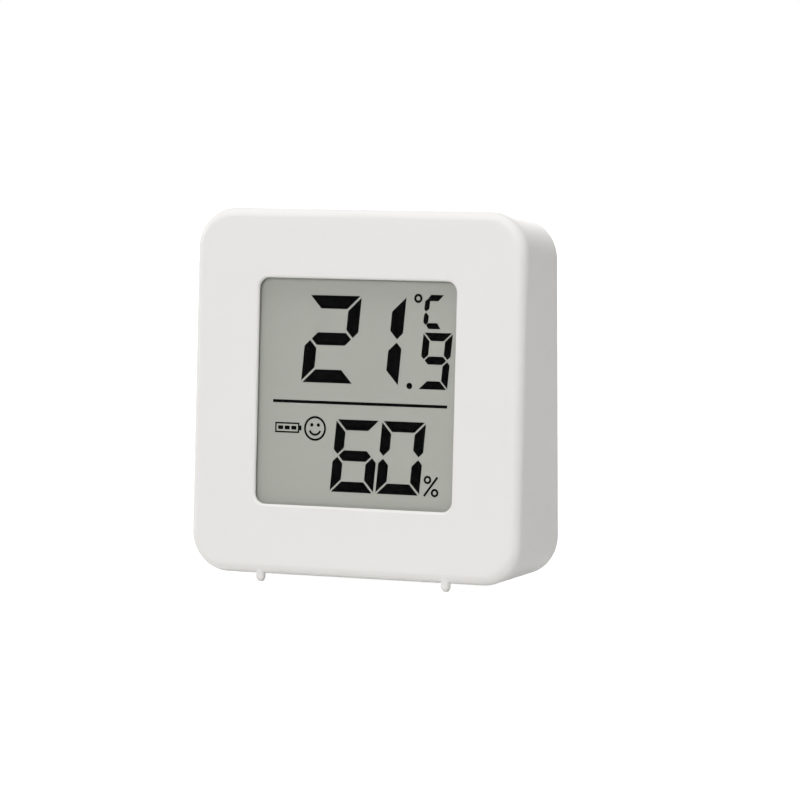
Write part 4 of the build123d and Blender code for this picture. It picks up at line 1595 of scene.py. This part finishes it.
@dataclass
class Studio:
    """Pale floor, soft light and the camera at the photograph's angle."""

    turn_degrees: float = 26.52
    rise_degrees: float = 4.91
    roll_degrees: float = 0.31
    distance: float = 559.42 * MM
    focal_pixels: float = 4539.82
    image_pixels: float = 800.0
    shift_right: float = -2.74 * MM
    shift_down: float = -1.16 * MM
    target: tuple[float, float, float] = (0.0, -0.105 * MM, 23.45 * MM)
    sensor_width: float = 36.0
    clip_start: float = 0.01
    clip_end: float = 20.0
    floor_size: float = 6.0
    floor_roughness: float = 0.9
    floor_colour: Colour = (0.68, 0.68, 0.67)
    floor_white: float = 0.93
    world_strength: float = 0.275
    world_white: float = 1.0
    lamps: tuple[Lamp, ...] = (
        Lamp("front_key", (0.2, -0.93, 0.29), power=2.95, size=0.3),
        Lamp("top_box", (0.04, -0.15, 0.97), power=4.2),
        Lamp("left_fill", (-0.97, -0.1, 0.2), power=2.1),
        Lamp("rear_fill", (-0.25, 0.93, 0.3), power=2.0))

    def camera(self) -> None:
        """Places the camera."""
        turn, rise = math.radians(self.turn_degrees), math.radians(self.rise_degrees)
        roll = math.radians(self.roll_degrees)
        back = Vector((math.sin(turn) * math.cos(rise), -math.cos(turn) * math.cos(rise), math.sin(rise)))
        level = Vector((math.cos(turn), math.sin(turn), 0))
        down = back.cross(level) * -1
        right = level * math.cos(roll) + down * math.sin(roll)
        down = down * math.cos(roll) - level * math.sin(roll)
        place = Vector(self.target) + back * self.distance
        place -= right * self.shift_right + down * self.shift_down
        data = bpy.data.cameras.new("photo_camera")
        data.sensor_width = self.sensor_width
        data.sensor_fit = "HORIZONTAL"
        data.lens = self.focal_pixels / self.image_pixels * self.sensor_width
        data.clip_start = self.clip_start
        data.clip_end = self.clip_end
        camera = bpy.data.objects.new("photo_camera", data)
        bpy.context.scene.collection.objects.link(camera)
        camera.matrix_world = Matrix((
            (right.x, -down.x, back.x, place.x), (right.y, -down.y, back.y, place.y),
            (right.z, -down.z, back.z, place.z), (0, 0, 0, 1)))
        bpy.context.scene.camera = camera

    def world(self) -> None:
        """Sets the even light and the white background that camera, gloss and glass rays see."""
        world = bpy.data.worlds.new("studio")
        bpy.context.scene.world = world
        world.use_nodes = True
        paint = Paint(world.node_tree)
        background = world.node_tree.nodes["Background"]
        strength = paint.span(paint.seen(), self.world_strength, self.world_white)
        paint.link(strength, background.inputs["Strength"])
        background.inputs["Color"].default_value = rgba(WHITE)

    def floor(self) -> None:
        """Makes the floor: pale for light, and lifted to white for the camera where nothing shades it."""
        form = bmesh.new()
        half = self.floor_size / 2
        corners = ((-half, -half), (half, -half), (half, half), (-half, half))
        form.faces.new([form.verts.new((x, y, 0)) for x, y in corners])
        mesh = bpy.data.meshes.new("floor")
        form.to_mesh(mesh)
        form.free()
        floor = bpy.data.objects.new("floor", mesh)
        bpy.context.scene.collection.objects.link(floor)
        material = bpy.data.materials.new("studio_floor")
        material.use_nodes = True
        paint = Paint(material.node_tree)
        shader = material.node_tree.nodes["Principled BSDF"]
        shader.inputs["Base Color"].default_value = rgba(self.floor_colour)
        shader.inputs["Roughness"].default_value = self.floor_roughness
        shader.inputs["Specular IOR Level"].default_value = 0.0
        shader.inputs["Emission Color"].default_value = rgba(WHITE)
        lift = paint.math("MULTIPLY", paint.seen(), self.floor_white)
        paint.link(lift, shader.inputs["Emission Strength"])
        mesh.materials.append(material)

    def build(self) -> None:
        """Builds the studio."""
        self.camera()
        for lamp in self.lamps:
            lamp.build(Vector(self.target))
        self.world()
        self.floor()
        bpy.context.scene.view_settings.view_transform = "Standard"


def main() -> None:
    """Builds the studio and every sub-assembly in order."""
    logging.basicConfig(level=logging.INFO, format="%(name)s: %(message)s")
    Studio().build()
    Casing().build()
    NodeFinishes().build()
    Artwork().build()
    BoardDetails().build()
    ScrewDetails().build()
    CellFace().build()


if __name__ == "__main__":
    main()
